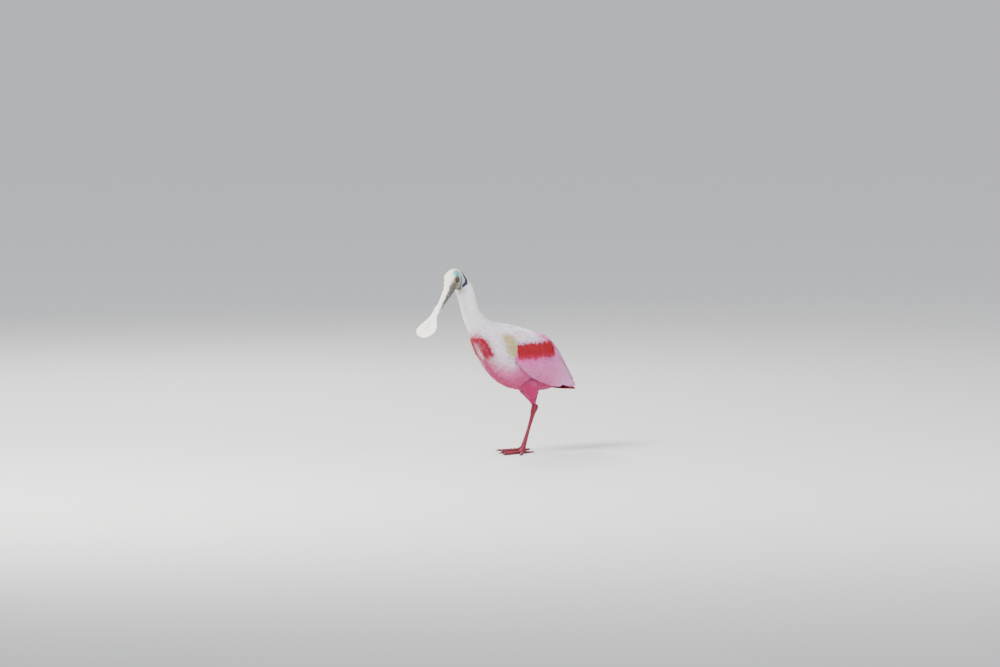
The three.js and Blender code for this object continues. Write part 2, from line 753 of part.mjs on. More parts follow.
// A toe lying on the floor: it slopes down from the foot, swells under each joint and thins to the claw.
function toeSolid(leg, toe) {
  const direction = toeDirection(leg, toe);
  const root = new THREE.Vector3(...leg.foot);
  const stops = steps(0, 1, 8).map((share, k) => {
    const swell = k % 3 === 2 ? 1.12 : 0.97;
    const radius = toe.radius * THREE.MathUtils.lerp(1, TOE_TIP_SHARE, share) * swell;
    const slope = 1 - THREE.MathUtils.smoothstep(share, 0, 0.24);
    const height = THREE.MathUtils.lerp(radius * 0.82, root.z, slope);
    return { at: root.clone().addScaledVector(direction, toe.length * share).setZ(height), radius };
  });
  const rings = stops.map((stop) => {
    const aside = new THREE.Vector3(-direction.y, direction.x, 0);
    return Array.from({ length: 8 }, (_, step) => {
      const angle = (2 * Math.PI * (step + 0.5)) / 8;
      const point = stop.at.clone().addScaledVector(aside, stop.radius * Math.cos(angle));
      return point.setZ(stop.at.z + stop.radius * Math.sin(angle));
    });
  });
  return solidOf(loft(rings));
}

// A small web of skin in the fork between two toes.
function webSolid(leg, toe, other) {
  const root = new THREE.Vector2(leg.foot[0], leg.foot[1]);
  const one = toeDirection(leg, toe);
  const two = toeDirection(leg, other);
  const fork = one.clone().add(two).normalize();
  const corners = [
    root.clone(),
    new THREE.Vector2(one.x, one.y).multiplyScalar(WEB_REACH).add(root),
    new THREE.Vector2(fork.x, fork.y).multiplyScalar(WEB_REACH * 0.62).add(root),
    new THREE.Vector2(two.x, two.y).multiplyScalar(WEB_REACH).add(root),
  ];
  const web = new THREE.ExtrudeGeometry(new THREE.Shape(corners), { depth: 1.6, bevelEnabled: false });
  web.translate(0, 0, 1.2);
  return solidOf(web);
}

function footSolid(leg, bareLeg) {
  const below = halfSpace(new THREE.Vector3(0, 0, FOOT_TOP), new THREE.Vector3(0, 0, -1));
  const above = halfSpace(new THREE.Vector3(0, 0, 0), new THREE.Vector3(0, 0, 1));
  const pieces = toes.map((toe) => toeSolid(leg, toe));
  pieces.push(webSolid(leg, toes[0], toes[1]));
  pieces.push(webSolid(leg, toes[1], toes[2]));
  return largest(joined([bareLeg.intersect(below), ...pieces]).intersect(above));
}

// A curved claw beyond the end of a toe, its point just off the floor.
function clawSolid(leg, toe) {
  const direction = toeDirection(leg, toe);
  const aside = new THREE.Vector3(-direction.y, direction.x, 0);
  const radius = toe.radius * TOE_TIP_SHARE * 0.82;
  const root = new THREE.Vector3(...leg.foot).addScaledVector(direction, toe.length + GAP);
  const rings = steps(0, 1, 5).map((share) => {
    const girth = radius * (1 - 0.86 * share);
    const middle = root.clone().addScaledVector(direction, CLAW_LENGTH * share);
    middle.z = GAP + girth + (radius + 0.4) * (1 - share ** 1.6) * 0.35;
    return Array.from({ length: 6 }, (_, step) => {
      const angle = (2 * Math.PI * step) / 6;
      const point = middle.clone().addScaledVector(aside, girth * Math.cos(angle));
      return point.setZ(middle.z + girth * Math.sin(angle));
    });
  });
  return solidOf(loft(rings));
}

// The bird

const bird = new THREE.Group();

function addPart(name, solid, material) {
  const mesh = new THREE.Mesh(geometryOf(solid), material);
  mesh.name = name;
  bird.add(mesh);
}

// The plane square to the trunk's line through the rib at a place.
function ribPlane(place) {
  const rib = smoothRib(trunkRibs, place);
  const point = new THREE.Vector3(rib.back[0], 0, rib.back[1]);
  const across = new THREE.Vector3(rib.front[0] - rib.back[0], 0, rib.front[1] - rib.back[1]);
  return { point, up: new THREE.Vector3(0, 1, 0).cross(across).normalize() };
}

function beyond(plane, direction) {
  const offset = plane.up.clone().multiplyScalar((direction * GAP) / 2);
  return halfSpace(plane.point.clone().add(offset), plane.up.clone().multiplyScalar(direction));
}

function addTrunk() {
  const whole = trunkSolid(0).subtract(skullSolid(GAP));
  const middle = ribPlane(NECK_MIDDLE);
  const base = ribPlane(NECK_FOOT);
  addPart('neck_upper', largest(whole.intersect(beyond(middle, 1))), palePlumage);
  const lower = whole.intersect(beyond(middle, -1)).intersect(beyond(base, 1));
  addPart('neck_lower', largest(lower), palePlumage);
  let trunk = whole.intersect(beyond(base, -1));
  for (const side of [LEFT, RIGHT]) {
    trunk = trunk.subtract(wingBlock(side, BED_DEPTH, -FREE, 0));
  }
  addPart('torso', largest(joined([trunk, ...tuftVanes()])), palePlumage);
}

function addHead() {
  addPart('head', headSolid(), bareHead);
  let upper = mandibleSolid(1, 1, 'upper');
  for (const side of [LEFT, RIGHT]) {
    upper = upper.subtract(nostrilSolid(side));
    const name = side === LEFT ? 'left' : 'right';
    addPart(`eye_${name}`, ball(eyeCenter(side), EYE_RADIUS), redEye);
  }
  addPart('bill_upper', largest(upper), bill);
  addPart('bill_lower', mandibleSolid(-1, LOWER_BILL_SHARE, 'lower'), bill);
}

function addWingsAndTail() {
  const trunk = trunkSolid(GAP * 1.5);
  for (const leg of legs) {
    addPart(`wing_${leg.name}`, wingSolid(leg.side, trunk, thighSolid(leg, GAP)), wingPlumage);
  }
  addPart('tail', tailSolid(trunk), tailPlumage);
}

function addLeg(leg) {
  const bareLeg = bareLegSolid(leg);
  const ankle = new THREE.Vector3(...leg.ankle);
  const down = new THREE.Vector3(...leg.foot).sub(ankle).normalize();
  const thigh = thighSolid(leg, 0).subtract(trunkSolid(GAP * 1.5));
  const aboveAnkle = halfSpace(ankle.clone().addScaledVector(down, -GAP / 2), down.clone().negate());
  const belowAnkle = halfSpace(ankle.clone().addScaledVector(down, GAP / 2), down);
  const clearOfFoot = halfSpace(new THREE.Vector3(0, 0, FOOT_TOP + GAP), new THREE.Vector3(0, 0, 1));
  const shank = bareLeg.intersect(aboveAnkle).subtract(thighSolid(leg, GAP));
  addPart(`thigh_${leg.name}`, largest(thigh), pinkPlumage);
  addPart(`shank_${leg.name}`, largest(shank), redSkin);
  addPart(`tarsus_${leg.name}`, largest(bareLeg.intersect(belowAnkle).intersect(clearOfFoot)), redSkin);
  addPart(`foot_${leg.name}`, footSolid(leg, bareLeg), redSkin);
  for (const toe of toes) {
    addPart(`claw_${leg.name}_${toe.name}`, clawSolid(leg, toe), darkClaw);
  }
}

addTrunk();
addHead();
addWingsAndTail();
legs.forEach(addLeg);

// The origin is on the floor under the middle of the whole bird.
const reach = new THREE.Box3().setFromObject(bird);
const centre = reach.getCenter(new THREE.Vector3());
bird.position.set(-centre.x, -centre.y, -reach.min.z);

export default bird;
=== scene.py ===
"""Roseate spoonbill, life size, as a museum shows it: bare head, horn bill, feathered neck and body,
folded wings with carmine plumes, tail, bare legs and feet.

Shapes are worked out in the bird's own millimetres: x to the rear, z up, the left side towards -y.
"""

import math

import bpy
import numpy as np
from mathutils import Matrix, Vector


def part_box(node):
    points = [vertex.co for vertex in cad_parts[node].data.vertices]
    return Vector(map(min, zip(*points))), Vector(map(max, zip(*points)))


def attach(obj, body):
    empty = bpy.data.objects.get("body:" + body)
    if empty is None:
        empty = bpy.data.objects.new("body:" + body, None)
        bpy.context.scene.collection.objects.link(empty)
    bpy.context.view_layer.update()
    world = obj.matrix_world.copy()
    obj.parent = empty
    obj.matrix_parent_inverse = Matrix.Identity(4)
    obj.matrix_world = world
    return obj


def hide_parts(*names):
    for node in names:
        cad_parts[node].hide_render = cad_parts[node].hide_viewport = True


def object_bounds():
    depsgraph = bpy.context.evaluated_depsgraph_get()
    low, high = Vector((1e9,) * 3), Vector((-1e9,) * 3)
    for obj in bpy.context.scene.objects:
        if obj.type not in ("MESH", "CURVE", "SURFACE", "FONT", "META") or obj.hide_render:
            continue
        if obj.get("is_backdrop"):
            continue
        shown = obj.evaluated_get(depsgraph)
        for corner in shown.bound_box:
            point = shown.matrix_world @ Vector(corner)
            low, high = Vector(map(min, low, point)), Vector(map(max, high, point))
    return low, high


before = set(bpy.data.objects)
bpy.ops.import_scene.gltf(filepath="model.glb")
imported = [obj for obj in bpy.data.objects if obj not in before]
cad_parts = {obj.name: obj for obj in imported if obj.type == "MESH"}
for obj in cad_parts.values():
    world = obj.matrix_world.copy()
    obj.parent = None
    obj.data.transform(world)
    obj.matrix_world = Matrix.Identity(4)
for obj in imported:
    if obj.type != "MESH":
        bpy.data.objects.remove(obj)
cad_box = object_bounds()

# Sizes, in millimetres and degrees

GAP = 0.3
LEFT, RIGHT = -1, 1
SIDES = {"left": LEFT, "right": RIGHT}
EYE_LINE = np.array([-325.0, 0.0, 471.0])
EYE_RADIUS = 7.0
EYE_INSET = 14.6
HEAD_TURN = math.radians(12)
HEAD_PITCH = math.radians(44)
UPRIGHT = np.array([0.0, 0.0, 1.0])

# The head, neck and trunk as one row of ribs from the face to the vent: back or crown (x, z),
# throat, breast or belly (x, z), and half the width. A place is a rib's number, or lies between two.
BODY_RIBS = np.array([
    (-347.5, 459.7, -324.2, 435.6, 13.4),
    (-341.6, 473.8, -312.0, 440.6, 17.3),
    (-335.0, 485.7, -304.0, 440.8, 20.6),
    (-323.2, 493.6, -299.5, 439.0, 20.6),
    (-308.0, 496.6, -297.2, 437.0, 19.7),
    (-292.0, 493.2, -296.2, 435.2, 18.8),
    (-276.5, 482.6, -295.6, 433.6, 18.6),
    (-263.5, 467.2, -295.0, 432.2, 19.8),
    (-252, 449, -294, 431, 21.5),
    (-241, 418, -281, 400, 21),
    (-229, 390, -269, 367, 22),
    (-211, 371, -252, 336, 26),
    (-184, 356, -231, 306, 35),
    (-151, 347, -206, 267, 47),
    (-109, 339.5, -170, 220, 57),
    (-66, 328.5, -121, 184, 61),
    (-19, 314, -68, 168, 60),
    (22, 291, -12, 161, 53),
    (52, 260, 36, 161, 41),
    (76, 224, 70, 166, 27),
    (92, 196, 90, 173, 13),
])
BODY_END = len(BODY_RIBS) - 1
BODY_EGG, HEAD_EGG = 0.08, 0.15
HEAD_EGG_PLACES = (4, 8)
HEAD_TURN_PLACES = (4.5, 8.8)
HEAD_PLACES = 7.0

# The folded wing's outer surface, in the same terms.
WING_RIBS = np.array([
    (-152, 348, -140, 238, 63),
    (-92, 336, -96, 204, 68),
    (-32, 322, -46, 186, 67),
    (24, 306, 8, 174, 60),
    (63, 283, 56, 169.5, 48),
    (96, 244, 94, 168, 35),
    (127, 204, 126, 166.5, 24),
    (154, 171, 153, 164.5, 14),
])
WING_WRAP = math.radians(118)

# The block of carmine plumes on the forearm: its straight front edge, its rear end, its top and bottom.
PLUME_FRONT, PLUME_REAR = -137, 16
PLUME_TOP, PLUME_BOTTOM = 301, 270

# The closed bill: distance forward of the eye, half the width, the line of the mouth, and the depth of
# the upper and lower mandible above and below that line.
BILL_START = 24
BILL_RIBS = np.array([
    (24, 13.2, -11, 17, 13.5),
    (40, 12.8, -10.5, 12.5, 11.5),
    (60, 12, -9.5, 7.5, 7.5),
    (85, 10.4, -7.8, 4.6, 4.2),
    (110, 9.4, -6, 3.3, 2.8),
    (128, 10.4, -4.6, 2.6, 2.2),
    (145, 17, -3.2, 2.3, 1.9),
    (162, 25, -2, 2.1, 1.8),
    (178, 28.5, -1.4, 2.1, 1.8),
    (191, 23.5, -2, 2.2, 1.9),
    (198, 14.5, -2.9, 2, 1.6),
    (202, 4, -4, 1.4, 1),
])
LOWER_BILL_SHARE = 0.94
NOSTRIL_START, NOSTRIL_LENGTH = 33, 13

# Legs: the feathered thigh (x, y, z, radius), the ankle and the middle of the foot.
LEGS = {
    "left": dict(
        side=LEFT,
        thigh=[(-60, -31, 200, 20), (-49, -35, 165, 18.5), (-41, -31, 149, 12.5), (-35, -28, 133, 7.6),
               (-31.8, -26, 123, 5.4), (-28.7, -24, 113, 5.0)],
        ankle=(-28.7, -24, 113),
        foot=(-73, -27, 9),
    ),
    "right": dict(
        side=RIGHT,
        thigh=[(-4, 31, 200, 20), (7.5, 35, 165, 18.5), (13, 31, 149, 12.5), (21.5, 28, 133, 7.6),
               (27.1, 26, 123, 5.4), (32.7, 24, 113, 5.0)],
        ankle=(32.7, 24, 113),
        foot=(-15, 27, 9),
    ),
}
THIGH_END = 3
THIGH_COAT = 2.2
ROOT_DEPTH = 0.6

# The bare leg's sections: share of the way down, radius, and its depth as a share of its width.
SHANK_RADIUS = 4.8
SHANK = [(0.55, SHANK_RADIUS, 1), (0.85, 6.2, 1.05), (1, 7.0, 1.15)]
TARSUS = [(0.07, 6.4, 1.1), (0.17, 4.4, 1.25), (0.5, 4.0, 1.25), (0.86, 4.4, 1.25), (0.94, 5.6, 1.15),
          (1, 6.0, 1.1)]

# Toes: degrees outwards from straight ahead, length and radius.
TOES = {
    "inner": (-34, 58, 4.6),
    "middle": (2, 74, 4.9),
    "outer": (36, 64, 4.7),
    "back": (170, 31, 3.9),
}
TOE_TIP_SHARE = 0.62
CLAW_LENGTH = 10
WEB_REACH, WEB_HEIGHT = 24, 1.9
FUSING_CUBE = 0.9

TAIL_ROOT = np.array([66.0, 0.0, 167.5])
TAIL_DROP = math.radians(4.5)
TAIL_LENGTH = 82


# Numbers

def smooth(value, low, high):
    """Smoothstep: t squared times (3 - 2 t), where t runs from 0 at low to 1 at high."""
    t = np.clip((value - low) / (high - low), 0, 1)
    return t * t * (3 - 2 * t)


def hump(value, middle, spread):
    """A bell: e to the minus square of the distance from the middle in spreads."""
    return np.exp(-(((value - middle) / spread) ** 2))


def between(value, low, high):
    """Whether a value lies between two others."""
    return (value > low) & (value < high)


def mix(one, other, share):
    """Straight mix of two values or colours by a share from 0 to 1."""
    share = np.asarray(share, float)
    one, other = np.asarray(one, float), np.asarray(other, float)
    if one.ndim and one.shape[-1] == 3 or other.ndim and other.shape[-1] == 3:
        share = share[..., None]
    return one + (other - one) * share


def by_place(*pairs):
    """A value that goes straight from one (place, value) pair to the next."""
    places, values = np.array(pairs, float).T
    return lambda place: np.interp(place, places, values)


def read_rows(rows, place):
    """Rows read between one another by a Catmull-Rom cubic through each column's values."""
    last = len(rows) - 1
    start = np.clip(np.floor(place), 0, last - 1).astype(int)
    t = (place - start)[..., None]
    a, b, c, d = (rows[np.clip(start + step, 0, last)] for step in (-1, 0, 1, 2))
    slope, after = (c - a) / 2, (d - b) / 2
    return b + t * (slope + t * (3 * (c - b) - 2 * slope - after + t * (2 * (b - c) + slope + after)))


def turn_steps(count):
    """Angles in equal steps once round."""
    return np.arange(count) * 2 * math.pi / count


def lattice(rows, columns):
    """Two grids that pair every value along a shape with every value round it."""
    return np.meshgrid(rows, columns, indexing="ij")


def ripple(points, length, seed, waves=7):
    """Soft noise between about -1 and 1: a sum of sines in random directions of about that wavelength."""
    draw = np.random.default_rng(seed)
    total = np.zeros(points.shape[:-1])
    for _ in range(waves):
        direction = draw.normal(size=3)
        direction *= 2 * math.pi / (length * draw.uniform(0.6, 1.5) * np.linalg.norm(direction))
        total += np.sin(points @ direction + draw.uniform(0, 2 * math.pi))
    return total / math.sqrt(waves)


def paint(red, green, blue):
    """A colour given as 0 to 255 in the usual display scale, as linear light."""
    share = np.array([red, green, blue]) / 255
    return np.where(share <= 0.04045, share / 12.92, ((share + 0.055) / 1.055) ** 2.4)


def segment_distance(points, path):
    """The least distance from points to a path of straight stretches."""
    best = np.full(points.shape[:-1], np.inf)
    for start, end in zip(path[:-1], path[1:]):
        start, way = np.array(start, float), np.array(end, float) - start
        share = np.clip(((points - start) @ way) / (way @ way), 0, 1)
        best = np.minimum(best, np.linalg.norm(points - start - share[..., None] * way, axis=-1))
    return best


# Directions of the head

FORWARD = np.array([
    -math.cos(HEAD_TURN) * math.cos(HEAD_PITCH),
    -math.sin(HEAD_TURN) * math.cos(HEAD_PITCH),
    -math.sin(HEAD_PITCH),
])
UP = np.array([
    -math.cos(HEAD_TURN) * math.sin(HEAD_PITCH),
    -math.sin(HEAD_TURN) * math.sin(HEAD_PITCH),
    math.cos(HEAD_PITCH),
])
SIDEWAYS = np.cross(UP, FORWARD)


def in_head(forward, left, up):
    """A point from the head's own distances forward, to the left and up, from between the eyes."""
    forward, left, up = (np.asarray(value, float)[..., None] for value in (forward, left, up))
    return EYE_LINE + forward * FORWARD + left * SIDEWAYS + up * UP


def from_head(points):
    """The head's own distances (forward, left, up) of points."""
    away = points - EYE_LINE
    return away @ FORWARD, away @ SIDEWAYS, away @ UP


# The frame's origin lies under the middle of the whole bird: the left eye's box says how far off.
eye_box = np.array([list(corner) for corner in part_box("eye_left")]) * 1000
SHIFT = np.array([eye_box[:, 0].mean() - in_head(0, EYE_INSET, 0)[0], 0, 0])


# Surfaces, each a function of a place along it, an angle round it, and a lift outwards

def rib_section(rib, angle, lift, egg):
    """A section between its two ends: an ellipse, a little fuller towards the back."""
    middle = (rib[..., 0:2] + rib[..., 2:4]) / 2
    to_back = rib[..., 0:2] - middle
    height = np.linalg.norm(to_back, axis=-1)
    reach = (height + lift) * np.cos(angle) / height
    across = (rib[..., 4] + lift) * np.sin(angle) * (1 + egg * np.cos(angle))
    return np.stack([middle[..., 0] + to_back[..., 0] * reach, -across,
                     middle[..., 1] + to_back[..., 1] * reach], -1)


def body_surface(place, angle, lift):
    """Head, neck and trunk: elliptical sections through the ribs. The head's end is turned about the
    upright line between the eyes, less and less down the neck."""
    place, angle, lift = np.broadcast_arrays(place, angle, lift)
    rib = read_rows(BODY_RIBS, place)
    point = rib_section(rib, angle, lift, mix(HEAD_EGG, BODY_EGG, smooth(place, *HEAD_EGG_PLACES)))
    turn = HEAD_TURN * (1 - smooth(place, *HEAD_TURN_PLACES))
    away = point - EYE_LINE
    x = away[..., 0] * np.cos(turn) - away[..., 1] * np.sin(turn)
    y = away[..., 0] * np.sin(turn) + away[..., 1] * np.cos(turn)
    return np.stack([x, y, away[..., 2]], -1) + EYE_LINE


def wing_surface(side):
    """One folded wing: sections that open from the back line down the side and a little under."""
    def surface(place, angle, lift):
        """A point of the section: down by one minus the angle's cosine, aside by its sine."""
        place, angle, lift = np.broadcast_arrays(place, angle, lift)
        rib = read_rows(WING_RIBS, place)
        down = rib[..., 2:4] - rib[..., 0:2]
        length = np.linalg.norm(down, axis=-1)
        height = length / (1 - math.cos(WING_WRAP))
        along = (height - (height + lift) * np.cos(angle)) / length
        across = side * (rib[..., 4] + lift) * np.sin(angle)
        return np.stack([rib[..., 0] + down[..., 0] * along, across, rib[..., 1] + down[..., 1] * along], -1)
    return surface


def thigh_surface(leg):
    """One feathered thigh: nearly round sections along a smooth line from the belly to the shank."""
    ribs = np.array(leg["thigh"], float)

    def surface(place, angle, lift):
        """A point of the section: the radius and lift, forward by the angle's cosine, aside by its sine."""
        place, angle, lift = np.broadcast_arrays(place, angle, lift)
        rib = read_rows(ribs, place)
        ahead = read_rows(ribs, place + 0.01) - read_rows(ribs, place - 0.01)
        axis = ahead[..., :3] / np.linalg.norm(ahead[..., :3], axis=-1, keepdims=True)
        fore = np.cross(np.array([0.0, 1.0, 0.0]), axis)
        fore /= np.linalg.norm(fore, axis=-1, keepdims=True)
        aside = np.cross(axis, fore)
        ring = fore * 1.05 * np.cos(angle)[..., None] + aside * np.sin(angle)[..., None]
        return rib[..., :3] + (rib[..., 3] + lift)[..., None] * ring
    return surface


def tail_surface(place, angle, lift):
    """Over the tail: place is the distance from its root, angle the direction to the left or right."""
    place, angle, lift = np.broadcast_arrays(place, angle, lift)
    return TAIL_ROOT + np.stack([place * np.cos(angle), place * np.sin(angle),
                                 lift - place * math.tan(TAIL_DROP)], -1)


# Markings

WHITE = paint(250, 247, 251)
LILAC_SHADE = paint(224, 216, 243)
ROSE = paint(222, 96, 164)
DEEP_ROSE = paint(172, 20, 90)
PALE_ROSE = paint(250, 214, 226)
BUFF = paint(174, 156, 92)
PEACH_HIGHLIGHT = paint(255, 205, 176)
CRIMSON = paint(178, 4, 58)
CARMINE = paint(186, 0, 32)
PLUME_EDGE = paint(214, 24, 92)
FRINGE_ROSE = paint(240, 110, 160)
WING_ROSE = paint(210, 90, 150)
WING_LILAC = paint(208, 140, 190)
WING_MAGENTA = paint(240, 92, 176)
TAIL_RED = paint(176, 22, 36)
LEG_RED = paint(122, 16, 42)
FACE = paint(228, 227, 206)
SHADED_FACE_OLIVE = paint(98, 89, 74)
DARK_FACE = paint(62, 54, 46)
LID_BROWN = paint(86, 62, 54)
TEAL = paint(84, 158, 158)
NAVY = paint(20, 22, 50)
EAR_BLUE = paint(146, 156, 196)
BONE = paint(240, 238, 228)
GREY_HORN = paint(112, 108, 104)
DARK_HORN = paint(46, 44, 44)
MOUTH_LINE = paint(48, 42, 38)
CLAW_BLACK = paint(40, 34, 36)
PUPIL = paint(6, 4, 5)
IRIS = paint(112, 5, 10)
IRIS_EDGE = paint(60, 2, 6)
EYE_RIM = paint(30, 12, 12)

# Marks on the side of the head as lines of (place, degrees from the crown), and the line where the
# neck's feathers begin as (degrees from the nape, place).
NAPE_BAND = [(5.05, 0), (5.1, 25), (5.3, 46), (5.85, 55), (6.25, 62), (6.3, 80), (5.75, 103)]
CHEEK_LINE = [(3.9, 68), (3.75, 84), (3.7, 110), (2.95, 146)]
FEATHER_LINE = [(0, 5.65), (30, 5.9), (48, 6.5), (80, 6.62), (105, 6.1), (131, 5.6), (180, 5.35)]

# Spots on the side of the head as (forward, up) from the eyes, and the painted peach highlight on the
# shoulder as (x, z). The head's own colours fade out between two distances from its middle.
TEAL_SPOT, EAR_SPOT, EAR_HOLE = (-15, 6), (-19, -25), (-22, -20)
PEACH_HIGHLIGHT_SPOT = (-122, 316)
HEAD_MIDDLE, HEAD_REACH = (-6, 0, -10), (58, 66)


def side_degrees(angle):
    """Degrees away from the back line, whichever side."""
    return np.degrees(np.abs((angle + math.pi) % (2 * math.pi) - math.pi))


def past_feather_line(place, angle):
    """How far a place lies behind the line where the feathers begin."""
    degrees, places = np.array(FEATHER_LINE, float).T
    return place - np.interp(side_degrees(angle), degrees, places)


def head_line(line):
    """A line of (place, degrees) as points (forward, aside, up) in the head's own distances."""
    place, degrees = np.array(line, float).T
    f, l, n = from_head(body_surface(place, np.radians(degrees), 0))
    return np.stack([f, np.abs(l), n], -1)


def from_spot(spot, one, other, long=1.0):
    """The distance from a spot, with the first direction counted so many times shorter."""
    return np.hypot((one - spot[0]) / long, other - spot[1])


def with_mottling(colour, share):
    """A colour with the share of dark mottling as its fourth value."""
    return np.concatenate([colour, share[..., None]], -1)


def unmottled(colour):
    """A colour with a fourth value that asks for no mottling."""
    return with_mottling(colour, np.zeros_like(colour[..., 0]))


def head_colour(points):
    """Bare head: cream crown and brow, grey olive painted shade on the side of the face, teal behind the
    eye, and a navy band from the nape round a pale ear patch. The fourth value is the face's dark mottling,
    partly its own spots and partly painted shade."""
    f, l, n = from_head(points)
    places = np.stack([f, np.abs(l), n], -1)
    noise, fine = ripple(points, 9, 3), ripple(points, 3.5, 4)
    band = segment_distance(places, head_line(NAPE_BAND)) + 0.7 * noise + 0.3 * fine
    cheek = segment_distance(places, head_line(CHEEK_LINE)) + 0.5 * noise + 0.2 * fine

    # Painted shade: the lower side of the face, behind the bill, turns grey olive.
    face = smooth(np.abs(l), 5, 9) * smooth(f, -16, -4) * smooth(-n, -13 + 0.25 * f, -7 + 0.25 * f)
    colour = mix(FACE, SHADED_FACE_OLIVE, np.clip(0.86 + 0.14 * noise, 0, 0.95) * face)
    teal = hump(from_spot(TEAL_SPOT, f, n, 1.4), 0, 10) * smooth(np.abs(l), 3, 10)
    colour = mix(colour, TEAL, np.clip(1.5 * teal, 0, 0.95))
    ear = hump(from_spot(EAR_SPOT, f, n), 0, 12) * smooth(np.abs(l), 6, 12)
    colour = mix(colour, EAR_BLUE, 0.95 * ear)
    colour = mix(colour, NAVY, 0.97 * (1 - smooth(band, 5.0, 6.4)))
    colour = mix(colour, NAVY, 0.9 * (1 - smooth(cheek, 2.2, 3.6)))
    lids = (1 - smooth(np.hypot(f, n), 6.4, 10.5)) * (np.abs(l) > 9)
    colour = mix(colour, LID_BROWN, 0.85 * lids)

    # Dark mottling over the side of the face: partly the skin's own spots, partly painted shade.
    mottle_and_shade = face * (0.48 + 0.42 * smooth(f, -2, 16) * hump(n, -10, 12))
    clear = smooth(np.minimum(band, cheek), 3, 6)
    return with_mottling(colour, np.clip(mottle_and_shade * clear, 0, 1) * (1 - np.clip(1.5 * teal, 0, 0.9)))


def body_colour(points):
    """Plumage: white neck and back with painted lilac shade down the sides of the neck and body, rose flanks
    that deepen to the belly and the vent, painted shade in deep rose down the front of the lower breast and
    on the flank under the wing's edge, crimson down each side of the breast, and a straw-coloured patch with
    a painted peach highlight before the wing."""
    x, y, z = points[..., 0], points[..., 1], points[..., 2]
    noise, fine = ripple(points, 30, 5), ripple(points, 9, 6)
    ragged = 3 * noise + 3 * fine
    # Painted shade: lilac on the sides of the white neck and body, more lower down, with the front and back
    # lines left white.
    colour = mix(WHITE, LILAC_SHADE, 0.55 * smooth(-z, -430, -320) * smooth(np.abs(y), 5, 30))
    colour = mix(colour, ROSE, 0.9 * smooth(-z + ragged, -270, -205))
    colour = mix(colour, DEEP_ROSE, 0.95 * smooth(-z + ragged, -212, -170))
    colour = mix(colour, WING_MAGENTA, 0.85 * smooth(x + 8 * noise, -60, 10) * smooth(z, 220, 280))

    # Painted shade: deep rose down the middle of the lower breast's front, where the feathers part.
    keel_shade = hump(y + 4 * fine, 0, 30) * smooth(-z + 4 * fine, -312, -280) * (1 - smooth(x, -70, 0))
    colour = mix(colour, DEEP_ROSE, 0.95 * keel_shade)
    # Painted shade: deeper rose on the flank just under the wing's lower edge.
    shade_under_wing = smooth(x, -150, -112) * smooth(-z + 3 * fine, -262, -222) * smooth(np.abs(y), 20, 40)
    colour = mix(colour, DEEP_ROSE, 0.45 * shade_under_wing)

    aside = np.abs(y) + 2.5 * fine
    breast = hump(z + 5 * fine, 294, 27) * hump(np.maximum(aside, 17), 17, 14) * smooth(-x, 160, 190)
    colour = mix(colour, CRIMSON, np.clip(1.3 * breast, 0, 0.95))
    straw = hump(x + 0.45 * (z - 296) + 3 * fine, -156, 22) * smooth(z + 4 * fine, 236, 276)
    straw = straw * smooth(np.abs(y), 22, 44) * (1 - smooth(z, 308, 332))
    colour = mix(colour, BUFF, 0.92 * np.clip(1.3 * straw, 0, 1))
    # Painted highlight: a pale peach spot on the shoulder, over the straw patch.
    return mix(colour, PEACH_HIGHLIGHT, np.clip(1.4 * hump(from_spot(PEACH_HIGHLIGHT_SPOT, x, z), 0, 8), 0, 0.95))


def wing_colour(points):
    """Wing: white over the shoulder and back with painted lilac shade lower down, magenta towards the rear
    of the back, lilac rose over the flight feathers, and painted shade in deep rose along the lower front
    edge."""
    x, z = points[..., 0], points[..., 2]
    noise, fine = ripple(points, 26, 8), ripple(points, 8, 9)
    # Painted shade: the white turns lilac lower down.
    top = mix(WHITE, LILAC_SHADE, 0.7 * smooth(-z, -340, -300))
    top = mix(top, WING_MAGENTA, 0.9 * smooth(x + 8 * noise + 3 * fine, -55, 12))
    rearward = np.clip(0.35 + 0.1 * noise + 0.1 * fine + 0.6 * smooth(x, 0, 110), 0, 1)
    colour = mix(WING_ROSE, WING_LILAC, rearward)
    colour = mix(colour, WING_MAGENTA, 0.6 * hump(z + 3 * fine, 252, 14) * smooth(-x, -10, 40))
    # Painted shade: deep rose along the wing's lower front edge.
    colour = mix(colour, DEEP_ROSE, 0.6 * smooth(-z + 4 * fine, -222, -178) * smooth(-x, -60, 30))
    return mix(colour, top, smooth(z + 3 * noise, 276, 296))


def leg_colour(points):
    """Raspberry red, darker on the joints and the toes."""
    dark = 0.35 + 0.25 * ripple(points, 8, 21) - 0.35 * smooth(points[..., 2], 10, 60)
    return mix(LEG_RED, LEG_RED * 0.5, np.clip(dark, 0, 0.8))


def bill_colour(points):
    """Horn: cream down its middle, grey at its sides near the face, partly the horn's own grey and partly
    painted shade, and pale bone over the spoon. The fourth value is the dark mottling: on the sides of the
    near half, partly its own and partly painted shade, and a little inside the spoon."""
    f, l, n = from_head(points)
    noise = ripple(points, 12, 41)
    edge = np.abs(l) / np.interp(f, BILL_RIBS[:, 0], BILL_RIBS[:, 1])
    near = 1 - smooth(f + 6 * noise, 78, 122)
    low = smooth(edge + 0.05 * noise, 0.48, 0.82)
    colour = mix(FACE * 0.95, BONE, smooth(f + 8 * noise, 40, 110))
    # Painted shade over the horn's own grey: the sides of the near half are greyer.
    colour = mix(colour, GREY_HORN, 0.8 * near * low)
    seam = (1 - smooth(np.abs(n + 11 - 0.055 * (f - BILL_START)), 0.4, 2.4)) * (1 - smooth(f, 70, 125))
    colour = mix(colour, MOUTH_LINE, 0.7 * seam)
    mottle_and_shade = near * np.clip(0.15 + 1.0 * low, 0, 1) + 0.55 * hump(l, 0, 9) * hump(f, 163, 22)
    return with_mottling(colour, np.clip(mottle_and_shade, 0, 1))


